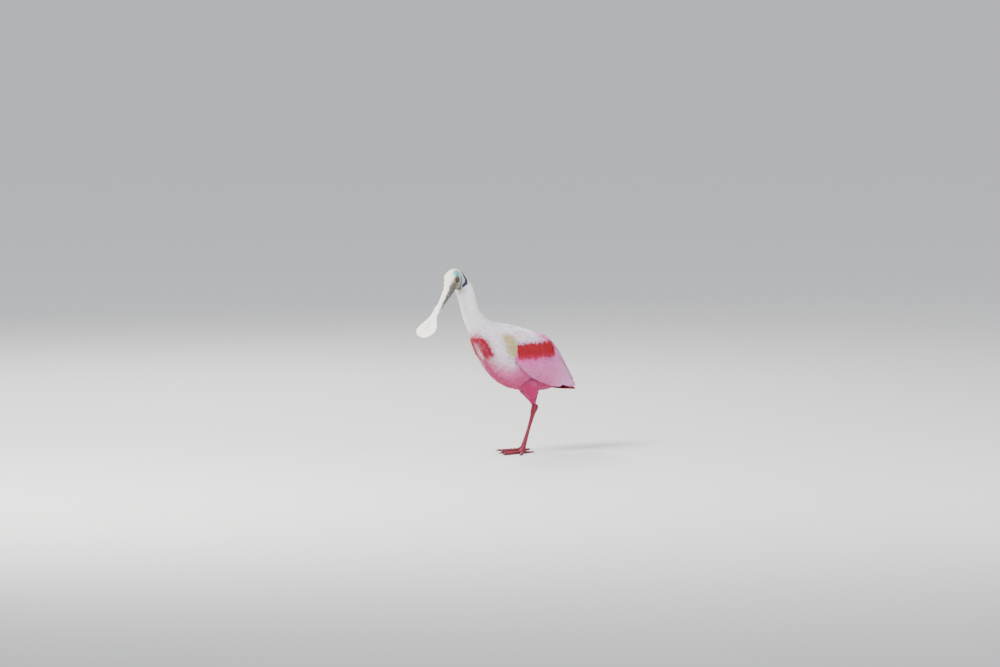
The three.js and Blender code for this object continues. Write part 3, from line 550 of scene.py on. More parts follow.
def plume_colour(points):
    """Carmine, in dark and light strands, paler towards the ragged lower edge."""
    strands = np.clip(0.5 + 0.6 * ripple(points * [1.0, 1.0, 0.25], 5, 51), 0, 1)
    colour = mix(CARMINE, CARMINE * 0.5, 0.7 * strands)
    return mix(colour, PLUME_EDGE, 0.75 * smooth(-points[..., 2] + 3 * strands, -264, -250))


def fringe_colour(points):
    """The feathers that overlap the plumes' upper edge: as the wing above them, rosy at their tips."""
    colour = wing_colour(points + 10 * UPRIGHT)
    return mix(colour, FRINGE_ROSE, 0.6 * smooth(-points[..., 2], -302, -294))


def tail_colour(points):
    """Red, with deep rose towards the roots."""
    return mix(np.broadcast_to(TAIL_RED, points.shape), DEEP_ROSE, 0.4 * smooth(-points[:, 0], -110, -70))


def tail_covert_colour(points):
    """Deep rose and carmine in soft patches."""
    return mix(np.broadcast_to(DEEP_ROSE, points.shape), CARMINE, 0.5 + 0.4 * ripple(points, 16, 71))


def breast_colour(points):
    """Crimson strands with pale rose ones among them; down the middle the pale rose is mostly a painted
    highlight along the breast's lit front.
    """
    strands = ripple(points * [1.0, 1.0, 0.16], 3.4, 61)
    # Painted highlight: pale rose down the middle of the tuft's front.
    middle = hump(points[..., 1], 0, 9) * smooth(-points[..., 2], -306, -290)
    pale = np.clip(0.8 * middle + 0.3 * strands - 0.15, 0, 0.9)
    return mix(mix(CRIMSON, CRIMSON * 0.6, smooth(strands, -1, 1.2)), PALE_ROSE, pale)


def eye_colour(polar, angle):
    """By the angle from the eye's pole: pupil, iris with streaks that run outwards, dark rim."""
    streak = 0.16 * np.sin(angle * 23) + 0.1 * np.sin(angle * 41 + 1)
    iris = mix(IRIS, IRIS_EDGE, np.clip(smooth(polar, 0.42, 0.78) + streak, 0, 1))
    return mix(mix(PUPIL, iris, smooth(polar, 0.33, 0.37)), EYE_RIM, smooth(polar, 0.8, 0.92))


# Shells and feathers as arrays

def outward(points, faces):
    """The faces, all turned round where the volume that they close comes out negative."""
    volume = 0.0
    for group in faces:
        a = points[group[:, 0]]
        for k in range(1, group.shape[1] - 1):
            volume += np.einsum("ij,ij->", a, np.cross(points[group[:, k]], points[group[:, k + 1]]))
    return faces if volume > 0 else [group[:, ::-1] for group in faces]


def side_squares(here):
    """For point numbers in rows that are closed rings: the number beside each one, and the squares
    between neighbouring rows."""
    beside = np.roll(here, -1, 1)
    return beside, np.stack([here[:-1], beside[:-1], beside[1:], here[1:]], -1).reshape(-1, 4)


def tube(grid):
    """A closed tube: squares between neighbouring rings of points, each end closed by a fan to its mean."""
    rows, around = grid.shape[:2]
    here = np.arange(rows * around).reshape(rows, around)
    beside, squares = side_squares(here)
    ends = np.concatenate([
        np.stack([beside[0], here[0], np.full(around, here.size)], -1),
        np.stack([here[-1], beside[-1], np.full(around, here.size + 1)], -1),
    ])
    points = np.concatenate([grid.reshape(-1, 3), grid[0].mean(0)[None], grid[-1].mean(0)[None]])
    return points, [squares, ends]


def joined(shells):
    """Several shells (points, faces) in one: the later faces count on from the earlier points."""
    points, squares, ends, count = [], [], [], 0
    for shell, faces in shells:
        points.append(shell)
        for group in faces:
            (squares if group.shape[1] == 4 else ends).append(group + count)
        count += len(shell)
    groups = [np.concatenate(group) for group in (squares, ends) if group]
    return np.concatenate(points), groups


def in_scene(name, data):
    """A new object of that data at the origin, in the scene."""
    made = bpy.data.objects.new(name, data)
    bpy.context.scene.collection.objects.link(made)
    return made


def read_back(items, field, width, kind):
    """A field of a mesh's points, edges or corners as one array with that many columns."""
    values = np.zeros(len(items) * width, kind)
    items.foreach_get(field, values)
    return values.reshape(-1, width)


def add_piece(name, points, faces, material, slot, tint=None, uv=None, lie=None, rim=None):
    """A mesh object from points in millimetres and faces, with its colour, OFBake map and lie map. Edges
    whose two ends are both marked as rim are creases, so that a thin blade is shaded flat and crisp. A
    fourth column of the tint says how dark the horn or bare skin is mottled."""
    faces = outward(points, faces)
    mesh = bpy.data.meshes.new(name)
    loops = np.concatenate([group.ravel() for group in faces]).astype(np.int32)
    sizes = np.concatenate([np.full(len(group), group.shape[1]) for group in faces])
    mesh.vertices.add(len(points))
    mesh.vertices.foreach_set("co", ((points + SHIFT) * 0.001).astype(np.float32).ravel())
    mesh.loops.add(len(loops))
    mesh.loops.foreach_set("vertex_index", loops)
    mesh.polygons.add(len(sizes))
    mesh.polygons.foreach_set("loop_start", np.concatenate([[0], np.cumsum(sizes)[:-1]]).astype(np.int32))
    mesh.polygons.foreach_set("use_smooth", np.full(len(sizes), True))
    for label, values in (("OFBake", uv), ("Lie", lie)):
        if values is not None:
            layer = mesh.uv_layers.new(name=label)
            layer.data.foreach_set("uv", values[loops].astype(np.float32).ravel())
    if tint is not None:
        layer = mesh.color_attributes.new("tint", "FLOAT_COLOR", "POINT")
        four_columns = tint if tint.shape[1] == 4 else unmottled(tint)
        layer.data.foreach_set("color", np.clip(four_columns, 0, 1).astype(np.float32).ravel())
    mesh.update(calc_edges=True)
    if rim is not None:
        creases = mesh.attributes.new("sharp_edge", "BOOLEAN", "EDGE")
        creases.data.foreach_set("value", rim[read_back(mesh.edges, "vertices", 2, np.int32)].all(1))
    mesh.materials.append(material)
    piece = in_scene(name, mesh)
    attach(piece, "root")
    return piece


def blade(stops, ring):
    """One feather blade of unit size: its root and tip are points, with rings of (across, height)
    corners at the stops between them. Gives (along, across, height) for each corner, and the faces."""
    ring = np.array(ring, float)
    count = len(ring)
    along = np.concatenate([[0.0], np.repeat(stops, count), [1.0]])
    corners = np.concatenate([[[0.0, 0.0]], np.tile(ring, (len(stops), 1)), [[0.0, 0.0]]])
    here = 1 + np.arange(len(stops) * count).reshape(len(stops), count)
    beside, squares = side_squares(here)
    root = np.stack([beside[0], here[0], np.zeros(count, int)], -1)
    tip = np.stack([here[-1], beside[-1], np.full(count, len(along) - 1)], -1)
    return np.column_stack([along, corners]), [squares, np.concatenate([root, tip])]


# A soft tuft's lobes have rings of four corners, at three stops of their length. A large feather's vane
# has more of both.
LOBE_RING = [(-1, 0), (0, 1), (1, 0), (0, -1)]
LOBE_STOPS = (0.34, 0.66, 0.88)
LOBE_THICK = 0.2
VANE_STOPS, VANE_COLUMNS = 24, 9
VANE_THICK = 0.3


def vane_ring():
    """A large feather's section: a thin lens with a raised shaft down its middle."""
    across = np.linspace(-1, 1, VANE_COLUMNS)
    top = 0.75 * (1 - across ** 2) + 1.1 * hump(across, 0, 0.12) + 0.15
    under = -0.55 * (1 - across[1:-1] ** 2) - 0.1
    top[[0, -1]] = 0
    return list(zip(across, top)) + list(zip(across[1:-1], under))[::-1]


def tuft(lobes):
    """A soft feather as narrow lobes side by side that part towards their tips. The last column of the
    corners is the lobe's place, -1 to 1."""
    corners, faces = blade(np.array(LOBE_STOPS), LOBE_RING)
    shells = []
    for lobe in np.linspace(-1, 1, lobes):
        shells.append((np.column_stack([corners, np.full(len(corners), lobe)]), faces))
    return joined(shells)


def half_width(along, blunt=0.5):
    """A feather's half width along it: narrow at the root, full by two fifths, rounded off at the tip."""
    rise = 0.35 + 0.65 * smooth(along, 0, 0.4)
    fall = np.sqrt(np.clip(1 - (np.clip(along - blunt, 0, 1) / (1 - blunt)) ** 3, 0, 1))
    return rise * (0.1 + 0.9 * fall)


def stretch(surface, place, angle):
    """How many millimetres a unit of place and of angle cover on a surface."""
    step = 0.02
    here = surface(place, angle, 0)
    return (np.linalg.norm(surface(place + step, angle, 0) - here, axis=-1) / step,
            np.linalg.norm(surface(place, angle + step, 0) - here, axis=-1) / step)


def as_column(value, count):
    """A number, or one number for each feather, as a column."""
    return np.broadcast_to(value, (count,))[:, None]


def grow_tufts(surface, roots, heading, length, width, sink, rise, curl=0.0, lobes=3, seed=1):
    """Many tufts at once. Each corner lies length times along down the heading and width times across
    it, on the surface, at a height that goes from the sunk root up to the rise at the tip. The side lobes
    are shorter and lie a little lower, and each lobe has a length and lean of its own. Gives the points,
    the faces, each corner's place along and across its feather, its place in the feather's patch of the
    map, and whether it lies on the rim."""
    draw = np.random.default_rng(seed)
    corners, faces = tuft(lobes)
    along, across, height, lobe = corners.T
    count = len(roots)
    columns = (as_column(value, count) for value in (*roots.T, heading, length, width, sink, rise, curl))
    place, angle, turn, length, width, sink, rise, curl = columns
    own = np.repeat(draw.normal(size=(count, lobes)), len(corners) // lobes, 1)
    run = length * along * (1 - 0.2 * lobe ** 2) * (1 + 0.07 * own)
    spread = lobe * (0.34 + 0.36 * along) + (1.7 / lobes) * across * half_width(along) * (1 - 0.42 * along)
    aside = width / 2 * (spread + 0.05 * own * along)
    lift = mix(-sink, rise, smooth(along, 0, 0.46)) + LOBE_THICK * height + curl * along ** 3
    lift = lift - 0.12 * np.abs(lobe) * along
    per_place, per_angle = (value[:, None] for value in stretch(surface, *roots.T))
    down_run = run * np.cos(turn) - aside * np.sin(turn)
    round_run = run * np.sin(turn) + aside * np.cos(turn)
    points = surface(place + down_run / per_place, angle + round_run / per_angle, lift)
    shift = (np.arange(count) * len(corners))[:, None, None]
    faces = [(group[None] + shift).reshape(-1, group.shape[1]) for group in faces]
    lie = np.stack([run, aside], -1) / 10
    patch = np.stack([0.25 * (lobe + across), along - 0.5], -1)
    return points, faces, lie, patch, np.tile(height == 0, count)


def rows_of_roots(surface, places, gap, seed, angles=(0.0, 2 * math.pi)):
    """Roots in staggered rows: rows are a share of the gap apart along the surface, roots one gap apart
    round it, and each is moved a little at random. The gap is a function of the place."""
    draw = np.random.default_rng(seed)
    ring = np.linspace(*angles, 40)
    place, row, found = places[0], 0, []
    while place < places[1]:
        line = surface(np.full(len(ring), place), ring, 0)
        steps = np.linalg.norm(np.diff(line, axis=0), axis=1)
        run = np.concatenate([[0], np.cumsum(steps)])
        count = max(int(run[-1] / gap(place)), 3)
        shares = (np.arange(count) + 0.5 * (row % 2) + 0.25 * draw.uniform(-1, 1, count)) / count
        angle = np.interp(shares * run[-1], run, ring)
        per_place = stretch(surface, np.full(count, place), angle)[0]
        jitter = 0.3 * gap(place) * draw.uniform(-1, 1, count) / np.maximum(per_place, 5)
        found.append(np.stack([place + jitter, angle], -1))
        place += 0.82 * gap(place) / max(np.median(per_place), 5)
        row += 1
    return np.concatenate(found)


def feather(root, tip, width, tilt, lift, sink=0.0, blunt=0.62):
    """One long feather: root and tip as (place, degrees), tilt in degrees, lift as a function of place."""
    root, tip = ((place, math.radians(degrees)) for place, degrees in (root, tip))
    return dict(root=root, tip=tip, width=width, tilt=math.radians(tilt), lift=lift, sink=sink, blunt=blunt)


def grow_vanes(surface, feathers):
    """Long feathers one by one: the middle line runs straight from root to tip in (place, angle); each
    corner is set off from it across the line, tilted so that one edge lies deeper. Gives the points, the
    faces, each corner's place along and across its feather, and whether it lies on the rim."""
    stops = 1 - (1 - np.linspace(0, 1, VANE_STOPS)[1:-1]) ** 1.6
    corners, faces = blade(stops, vane_ring())
    along, across, height = corners.T
    points, lies, groups = [], [], [[] for _ in faces]
    for number, one in enumerate(feathers):
        root, tip = np.array(one["root"]), np.array(one["tip"])
        line = root + (tip - root) * along[:, None]
        per_place, per_angle = stretch(surface, line[:, 0], line[:, 1])
        run = np.stack([(tip - root)[0] * per_place, (tip - root)[1] * per_angle], -1)
        run /= np.linalg.norm(run, axis=1, keepdims=True)
        aside = one["width"] / 2 * across * half_width(along, one["blunt"])
        aside = aside * (1 + 0.03 * np.sin(along * 70 + number))
        place = line[:, 0] - aside * run[:, 1] / per_place
        angle = line[:, 1] + aside * run[:, 0] / per_angle
        height_out = one["lift"](line[:, 0])
        lift = mix(height_out - one["sink"], height_out, smooth(along, 0, 0.14))
        points.append(surface(place, angle, lift + aside * math.tan(one["tilt"]) + VANE_THICK * height))
        length = np.linalg.norm(surface(*tip, 0) - surface(*root, 0))
        lies.append(np.stack([length * along, aside], -1) / 10)
        for group, part in zip(groups, faces):
            group.append(part + number * len(corners))
    rim = np.tile((np.abs(across) == 1) | (along == 0) | (along == 1), len(feathers))
    return np.concatenate(points), [np.concatenate(group) for group in groups], np.concatenate(lies), rim


# Materials

class Wire:
    """A shader socket that answers to sums, differences and products by adding Math nodes."""

    def __init__(self, finish, socket):
        self.finish, self.socket = finish, socket

    def maths(self, operation, *values):
        """A Math node of that operation on one or two values."""
        return self.finish.add("ShaderNodeMath", {"operation": operation}, dict(enumerate(values)))

    def __add__(self, other):
        return self.maths("ADD", self, other)

    def __sub__(self, other):
        return self.maths("SUBTRACT", self, other)

    def __rsub__(self, other):
        return self.maths("SUBTRACT", other, self)

    def __mul__(self, other):
        return self.maths("MULTIPLY", self, other)

    __radd__ = __add__
    __rmul__ = __mul__

    def bend(self, operation):
        """A Math node of one value, such as its sine or its size without a sign."""
        return self.maths(operation, self)

    def beside(self, out):
        """Another output of the node that this one comes from."""
        return Wire(self.finish, self.socket.node.outputs[out])


class Finish:
    """A material in the making."""

    def __init__(self, name):
        self.material = bpy.data.materials.new(name)
        self.material.use_nodes = True
        self.tree = self.material.node_tree
        self.tree.nodes.clear()

    def add(self, kind, settings=None, sockets=None, out=0):
        """Any node: its type, its settings, the values or wires of its sockets, and the output wanted."""
        node = self.tree.nodes.new(kind)
        for key, value in (settings or {}).items():
            setattr(node, key, value)
        for key, value in (sockets or {}).items():
            if isinstance(value, Wire):
                self.tree.links.new(value.socket, node.inputs[key])
            else:
                node.inputs[key].default_value = value
        return Wire(self, node.outputs[out]) if node.outputs else None

    def place(self):
        """Where a point lies in the piece, in metres."""
        return self.add("ShaderNodeTexCoord", out="Object")

    def noise(self, scale, detail=4.0, rough=0.6):
        """Cloudy noise around a half, with grains of one over the scale."""
        sockets = {"Vector": self.place(), "Scale": scale, "Detail": detail, "Roughness": rough}
        return self.add("ShaderNodeTexNoise", {}, sockets, out="Fac")

    def plates(self, scale):
        """Small plates: the distance from the nearest seam between them."""
        sockets = {"Vector": self.place(), "Scale": scale}
        return self.add("ShaderNodeTexVoronoi", {"feature": "DISTANCE_TO_EDGE"}, sockets, out="Distance")

    def tint(self, out="Color"):
        """The piece's own colour, or as Alpha its share of mottling."""
        return self.add("ShaderNodeVertexColor", {"layer_name": "tint"}, out=out)

    def mottled(self, dark, scale):
        """The tint with crisp dark spots that spread and join where its fourth value rises."""
        spots = self.noise(scale, 6.0, 0.68) + self.tint("Alpha") * 0.36
        return self.mixed(self.range(spots, 0.66, 0.86, 0.0, 0.85), self.tint(), (*dark, 1.0))

    def scaled(self, colour, share):
        """A colour made brighter or darker."""
        return self.add("ShaderNodeVectorMath", {"operation": "SCALE"}, {"Vector": colour, "Scale": share})

    def mixed(self, share, one, other):
        """Two colours mixed by a share; a Mix node's sockets 6 and 7 are its colours."""
        return self.add("ShaderNodeMix", {"data_type": "RGBA"}, {0: share, 6: one, 7: other}, out=2)

    def range(self, value, low, high, first=0.0, last=1.0):
        """A straight change from first to last while the value goes from low to high."""
        sockets = {"Value": value, 1: low, 2: high, 3: first, 4: last}
        return self.add("ShaderNodeMapRange", {}, sockets, out="Result")

    def bump(self, height, depth, strength=1.0):
        """Relief of that depth in metres."""
        return self.add("ShaderNodeBump", {}, {"Height": height, "Distance": depth, "Strength": strength})

    def done(self, **sockets):
        """The finished material, with the sockets of its surface given by name."""
        named = {key.replace("_", " "): value for key, value in sockets.items()}
        shader = self.add("ShaderNodeBsdfPrincipled", {}, named)
        self.add("ShaderNodeOutputMaterial", {}, {"Surface": shader})
        return self.material


def feather_finish(name, streak, roughness, sheen, shaft=0.0):
    """Feathers: the tint, streaked along fine barbs that run out from each shaft, with a soft sheen, and
    on the stiff ones the shaft itself as a darker line."""
    finish = Finish(name)
    lie = finish.add("ShaderNodeUVMap", {"uv_map": "Lie"}, out="UV")
    along = finish.add("ShaderNodeSeparateXYZ", {}, {"Vector": lie})
    from_shaft = along.beside("Y").bend("ABSOLUTE")
    barbs = ((along - from_shaft * 0.8) * 95.0).bend("SINE")
    mottle = finish.noise(160.0, 3.0)
    tone = 1.0 - streak + mottle * (1.6 * streak) + barbs * (0.3 * streak)
    tone = tone - finish.range(from_shaft, 0.02, 0.08, shaft, 0.0)
    normal = finish.bump(barbs * 0.5 + mottle, 0.0002, 0.5)
    return finish.done(Base_Color=finish.scaled(finish.tint(), tone), Roughness=roughness + mottle * 0.12,
                       Normal=normal, Sheen_Weight=sheen, Sheen_Roughness=0.5, Specular_IOR_Level=0.3)


def bare_skin_finish():
    """Bare skin: fine wrinkles and pores, with dark mottling on the face, scaly on the legs by the tint's
    redness."""
    finish = Finish("bare_skin")
    wrinkles = finish.noise(420.0, 5.0, 0.7)
    red = finish.add("ShaderNodeSeparateColor", {}, {"Color": finish.tint()})
    leg = finish.range(red - red.beside("Green"), 0.12, 0.3)
    plates = finish.range(finish.plates(430.0), 0.0, 0.14)
    tone = 0.86 + wrinkles * 0.26 - (1.0 - plates) * leg * 0.28
    colour = finish.scaled(finish.mottled(DARK_FACE, 330.0), tone)
    height = wrinkles * 0.5 * (1.0 - leg * 0.7) + plates * leg * 0.8
    return finish.done(Base_Color=colour, Roughness=0.52 + wrinkles * 0.2,
                       Normal=finish.bump(height, 0.0005, 0.8), Specular_IOR_Level=0.4)


def horn_finish():
    """Bill horn: dark mottling, a fine grain and pits, with a worn soft sheen."""
    finish = Finish("bill_horn")
    pits = finish.noise(700.0, 4.0, 0.7)
    grain = finish.noise(120.0, 5.0, 0.62)
    colour = finish.scaled(finish.mottled(DARK_HORN, 190.0), 0.8 + grain * 0.34 + pits * 0.08)
    return finish.done(Base_Color=colour, Roughness=0.34 + grain * 0.22,
                       Normal=finish.bump(pits * 0.4 + grain, 0.0004, 0.6))


def plain_finish(name, colour, roughness, **more):
    """A fine-grained finish, a little uneven: of one colour, or of the tint where none is given."""
    finish = Finish(name)
    grain = finish.noise(900.0, 3.0)
    tint = finish.tint() if colour is None else finish.scaled(tuple(colour), 0.85 + grain * 0.3)
    return finish.done(Base_Color=tint, Roughness=roughness + grain * 0.08,
                       Normal=finish.bump(grain, 0.0001, 0.4), **more)


soft_feather = feather_finish("soft_feather", 0.07, 0.72, 0.12)
firm_feather = feather_finish("firm_feather", 0.14, 0.55, 0.08, 0.2)
plume_feather = feather_finish("plume_feather", 0.12, 0.6, 0.02)
bare_skin = bare_skin_finish()
bill_horn = horn_finish()
claw_horn = plain_finish("claw_horn", CLAW_BLACK, 0.3)
wet_eye = plain_finish("wet_eye", None, 0.2, Coat_Weight=0.6, Coat_Roughness=0.03, Specular_IOR_Level=0.3)


# Skin: one piece from the face to the toes

def coat_depth(place, angle):
    """How deep the skin lies under the plumage: not at all on the bare head, 2.4 on the neck, 5.6 on the
    body and 3.6 at the vent."""
    bare = smooth(past_feather_line(place, angle), -0.1, 0.9)
    return 2.4 * bare + 3.2 * smooth(place, 10.5, 14) - 2.0 * smooth(place, 18, 20)


def coat_surface(place, angle, lift):
    """The body's surface with the swell of the shoulder's feathers, which meet the wing's front edge."""
    shoulder = smooth(place, 12.2, 13.9) * (1 - smooth(place, 14.4, 15.4))
    return body_surface(place, angle, lift + 7.5 * shoulder * hump(side_degrees(angle), 80, 42))


def head_relief(points):
    """How far the bare head's skin stands out: a socket and lids round each eye, the line of the mouth
    between soft lips, the ear opening, and folds on the throat."""
    f, l, n = from_head(points)
    round_eye = np.hypot(f / 1.14, (n + 0.3) / 0.88)
    lids = 1.2 * hump(round_eye, 6.5, 1.0) + 0.55 * hump(round_eye, 8.8, 0.8)
    socket = -5.5 * (1 - smooth(round_eye, 4.6, 5.7)) - 0.5 * hump(round_eye, 7.8, 0.7)
    brow = 0.9 * hump(f, 2, 9) * hump(n, 10, 3)
    horn_edge = 0.7 * hump(f, 22.5, 2.5)
    mouth = -11 - 0.12 * (BILL_START - f)
    lips = 0.5 * (hump(n, mouth + 1.7, 1.1) + hump(n, mouth - 1.7, 1.1)) - 1.3 * hump(n, mouth, 0.7)
    from_ear = from_spot(EAR_HOLE, f, n)
    ear = 0.6 * hump(from_ear, 4, 1.6) - 2.4 * hump(from_ear, 0, 2.2)
    side = (lids + socket + brow + horn_edge + smooth(f, 1, 8) * lips + ear) * (np.abs(l) > 9)
    throat = smooth(-n, 16, 30) * 0.35 * np.sin(1.9 * n + 0.5 * f)
    return side + throat + 0.18 * ripple(points, 5, 11) + 0.1 * ripple(points, 2.2, 12)


def body_skin():
    """The body surface, sunk by the coat's depth, with the head's relief on its bare end."""
    places = np.concatenate([np.linspace(0, HEAD_PLACES, 180)[:-1], np.linspace(HEAD_PLACES, BODY_END, 90)])
    place, angle = lattice(places, turn_steps(216))
    depth = coat_depth(place, angle)
    bare = 1 - smooth(past_feather_line(place, angle), -0.4, 0.4)
    relief = bare * head_relief(body_surface(place, angle, -depth))
    return tube(coat_surface(place, angle, relief - depth))


def fused(shells, cube):
    """Overlapping shells as one closed skin: rebuilt on a grid of small cubes, then evened out three
    times by moving each point half way to the mean of its neighbours."""
    points, faces = joined([(shell, outward(shell, groups)) for shell, groups in shells])
    mesh = bpy.data.meshes.new("fusing")
    mesh.from_pydata(points.tolist(), [], [face for group in faces for face in group.tolist()])
    shape = in_scene("fusing", mesh)
    remesh = shape.modifiers.new("fuse", "REMESH")
    remesh.mode, remesh.voxel_size = "VOXEL", cube
    made = shape.evaluated_get(bpy.context.evaluated_depsgraph_get()).to_mesh()
    points = read_back(made.vertices, "co", 3, float)
    edges = read_back(made.edges, "vertices", 2, np.int32)
    squares = read_back(made.loops, "vertex_index", 1, np.int32).reshape(-1, 4)
    bpy.data.objects.remove(shape)
    bpy.data.meshes.remove(mesh)
    for _ in range(3):
        total, count = np.zeros_like(points), np.zeros(len(points))
        for one, other in (edges.T, edges[:, ::-1].T):
            np.add.at(total, one, points[other])
            np.add.at(count, one, 1)
        points = (points + total / count[:, None]) / 2
    return points, [squares]


def limb(stops, around=24, rings=60):
    """A round limb through stops of (x, y, z, radius, depth): sections square to its line, read smoothly
    between the stops."""
    rows = read_rows(np.array(stops, float), np.linspace(0, len(stops) - 1, rings))
    axis = np.gradient(rows[:, :3], axis=0)
    axis /= np.linalg.norm(axis, axis=1, keepdims=True)
    fore = np.cross([0.0, 1.0, 0.0], axis)
    fore /= np.linalg.norm(fore, axis=1, keepdims=True)
    aside = np.cross(axis, fore)
    angle = turn_steps(around)
    ring = (fore[:, None] * (rows[:, 4][:, None] * np.cos(angle))[..., None]
            + aside[:, None] * np.sin(angle)[None, :, None])
    return tube(rows[:, None, :3] + rows[:, 3][:, None, None] * ring)


def toe_direction(leg, spread):
    """The direction along the floor, so many degrees outwards from straight ahead."""
    angle = math.radians(spread)
    return np.array([-math.cos(angle), leg["side"] * math.sin(angle), 0.0])


def floor_tube(leg, spread, run, height, girth, around, slim=1.0):
    """Round sections square to a toe's direction, run away from the foot's middle and height above the
    floor; slim narrows them."""
    direction = toe_direction(leg, spread)
    aside = np.cross(UPRIGHT, direction)
    angle = turn_steps(around)
    middle = np.array(leg["foot"], float) * [1, 1, 0] + direction * run[:, None]
    across = girth[:, None] * slim * np.cos(angle)
    up = height[:, None] + girth[:, None] * np.sin(angle)
    return tube(middle[:, None] + aside * across[..., None] + UPRIGHT * up[..., None])


def toe_shell(leg, spread, length, radius):
    """A toe on the floor: it slopes down from the foot, swells at each of three joints and thins to the
    claw."""
    share = np.linspace(0, 1, 40)
    joints = 0.95 + 0.11 * np.cos(share * 2 * math.pi * 3 + 0.4) ** 2
    girth = radius * mix(1, TOE_TIP_SHARE, share) * joints
    height = mix(girth * 0.82, leg["foot"][2], 1 - smooth(share, 0, 0.24))
    return floor_tube(leg, spread, length * share, height, girth, around=16)


def web_shell(leg, one, other):
    """A small web of skin in the fork between two toes: its free edge sags towards the foot."""
    share, angle = lattice(np.linspace(0.05, 1, 14), np.linspace(0, 1, 16))
    direction = mix(toe_direction(leg, one), toe_direction(leg, other), angle)
    direction /= np.linalg.norm(direction, axis=-1, keepdims=True)
    reach = WEB_REACH * share * (1 - 0.38 * np.sin(math.pi * angle))
    middle = np.array(leg["foot"], float) * [1, 1, 0] + direction * reach[..., None]
    thick = 0.9 + 0.9 * (1 - share)
    upper = middle + UPRIGHT * (WEB_HEIGHT + thick)[..., None]
    under = middle + UPRIGHT * (WEB_HEIGHT - thick)[..., None]
    return tube(np.concatenate([upper, under[:, ::-1]], 1))


def leg_skin(leg):
    """Shank, ankle, tarsus, toes and webs as one fused skin, flat where it meets the floor."""
    top, knee = np.array(leg["thigh"][2][:3], float), np.array(leg["thigh"][3][:3], float)
    ankle, foot = np.array(leg["ankle"], float), np.array(leg["foot"], float)
    stops = [(*top, SHANK_RADIUS, 1), (*knee, SHANK_RADIUS, 1)]
    for start, end, sections in ((knee, ankle, SHANK), (ankle, foot, TARSUS)):
        stops += [(*mix(start, end, share), radius, depth) for share, radius, depth in sections]
    shells = [limb(stops)] + [toe_shell(leg, *toe) for toe in TOES.values()]
    for one, other in (("inner", "middle"), ("middle", "outer")):
        shells.append(web_shell(leg, TOES[one][0], TOES[other][0]))
    points, faces = fused(shells, FUSING_CUBE)
    points[:, 2] = np.maximum(points[:, 2], 0)
    return points, faces


def thigh_skin(leg):
    """The thigh's surface, sunk by the depth of its coat."""
    return tube(thigh_surface(leg)(*lattice(np.linspace(0, THIGH_END, 24), turn_steps(28)), -THIGH_COAT))


def skin_unwrap(points, strip):
    """The skin's own unwrap: round it and along it, in four strips side by side."""
    x, y, z = points.T
    span = (x + 0.35 * (470 - z) + 480) / 780
    turn = np.arctan2(y, z - 250) / (2 * math.pi) + 0.5
    return np.stack([0.25 * strip + 0.23 * turn, np.clip(span, 0, 1)], -1)


body = body_skin()
limbs = [leg_skin(leg) for leg in LEGS.values()]
thighs = [thigh_skin(leg) for leg in LEGS.values()]
shells = [body, *limbs, *thighs]
strips = np.concatenate([np.full(len(shell[0]), strip) for strip, shell in zip((0, 1, 2, 3, 3), shells)])
head_share = 1 - smooth(np.linalg.norm(body[0] - in_head(*HEAD_MIDDLE), axis=1), *HEAD_REACH)
tints = [mix(unmottled(body_colour(body[0])), head_colour(body[0]), head_share[:, None])]
tints += [unmottled(leg_colour(points)) for points, _ in limbs]
tints += [unmottled(body_colour(points)) for points, _ in thighs]
points, faces = joined(shells)
skin = add_piece("skin", points, faces, bare_skin, "head_skin", np.concatenate(tints),
                 skin_unwrap(points, strips))
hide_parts("head", "neck_upper", "neck_lower", "torso")
for name in LEGS:
    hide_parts(f"thigh_{name}", f"shank_{name}", f"tarsus_{name}", f"foot_{name}")


# Bill, eyes and claws

def mandible(upper):
    """One mandible: flat where the two meet, rounded on the outside, with a groove along each side,
    a ridge down its middle, knobs near the face and a dished spoon. It flares a little at the face."""
    direction, share, column, dish_share = (1, 1.0, 3, 1) if upper else (-1, LOWER_BILL_SHARE, 4, 0.6)
    rib = read_rows(BILL_RIBS, np.linspace(0, len(BILL_RIBS) - 1, 150))
    forward = np.maximum(rib[:, 0], BILL_START + GAP)[:, None]
    turn = np.linspace(0, math.pi, 49)[None]
    across, dome = np.cos(turn), np.sin(turn) ** 0.7
    spoon = smooth(forward, 120, 150)
    groove = hump(np.abs(across), mix(0.66, 0.86, spoon), 0.07) * smooth(forward, 24, 32)
    ridge = hump(across, 0, 0.16) * smooth(forward, 40, 70) * (1 - 0.5 * spoon)
    knobs = ripple(in_head(forward, rib[:, 1:2] * across, 0), 7, 31) * (1 - smooth(forward, 60, 110))
    crown = (0.28 + 0.72 * dome) * (1 - 0.16 * groove + 0.12 * ridge) + 0.02 * knobs
    dish = 0.22 * dish_share * spoon * (1 - across ** 2) * (1 - hump(across, 0, 0.2))
    flare = 0.7 * np.exp(-(forward - BILL_START) / 5)
    height = rib[:, column][:, None] * (crown - dish) + flare * dome
    flat = (rib[:, 2] + direction * GAP / 2)[:, None]
    half = (rib[:, 1] * share)[:, None] + flare
    round_side = in_head(forward + 0 * across, half * across, flat + direction * height)
    inner = np.linspace(-1, 1, 13)[None]
    flat_side = in_head(forward + 0 * inner, half * inner, flat + 0 * inner)
    return tube(np.concatenate([round_side, flat_side], 1))


def unwrap_head(points):
    """The head's pieces as seen from above, upper and lower beside one another."""
    f, l, n = from_head(points)
    return np.stack([0.5 + 0.3 * l / 30 + 0.15 * np.sign(n + 5), (f + 45) / 260], -1)


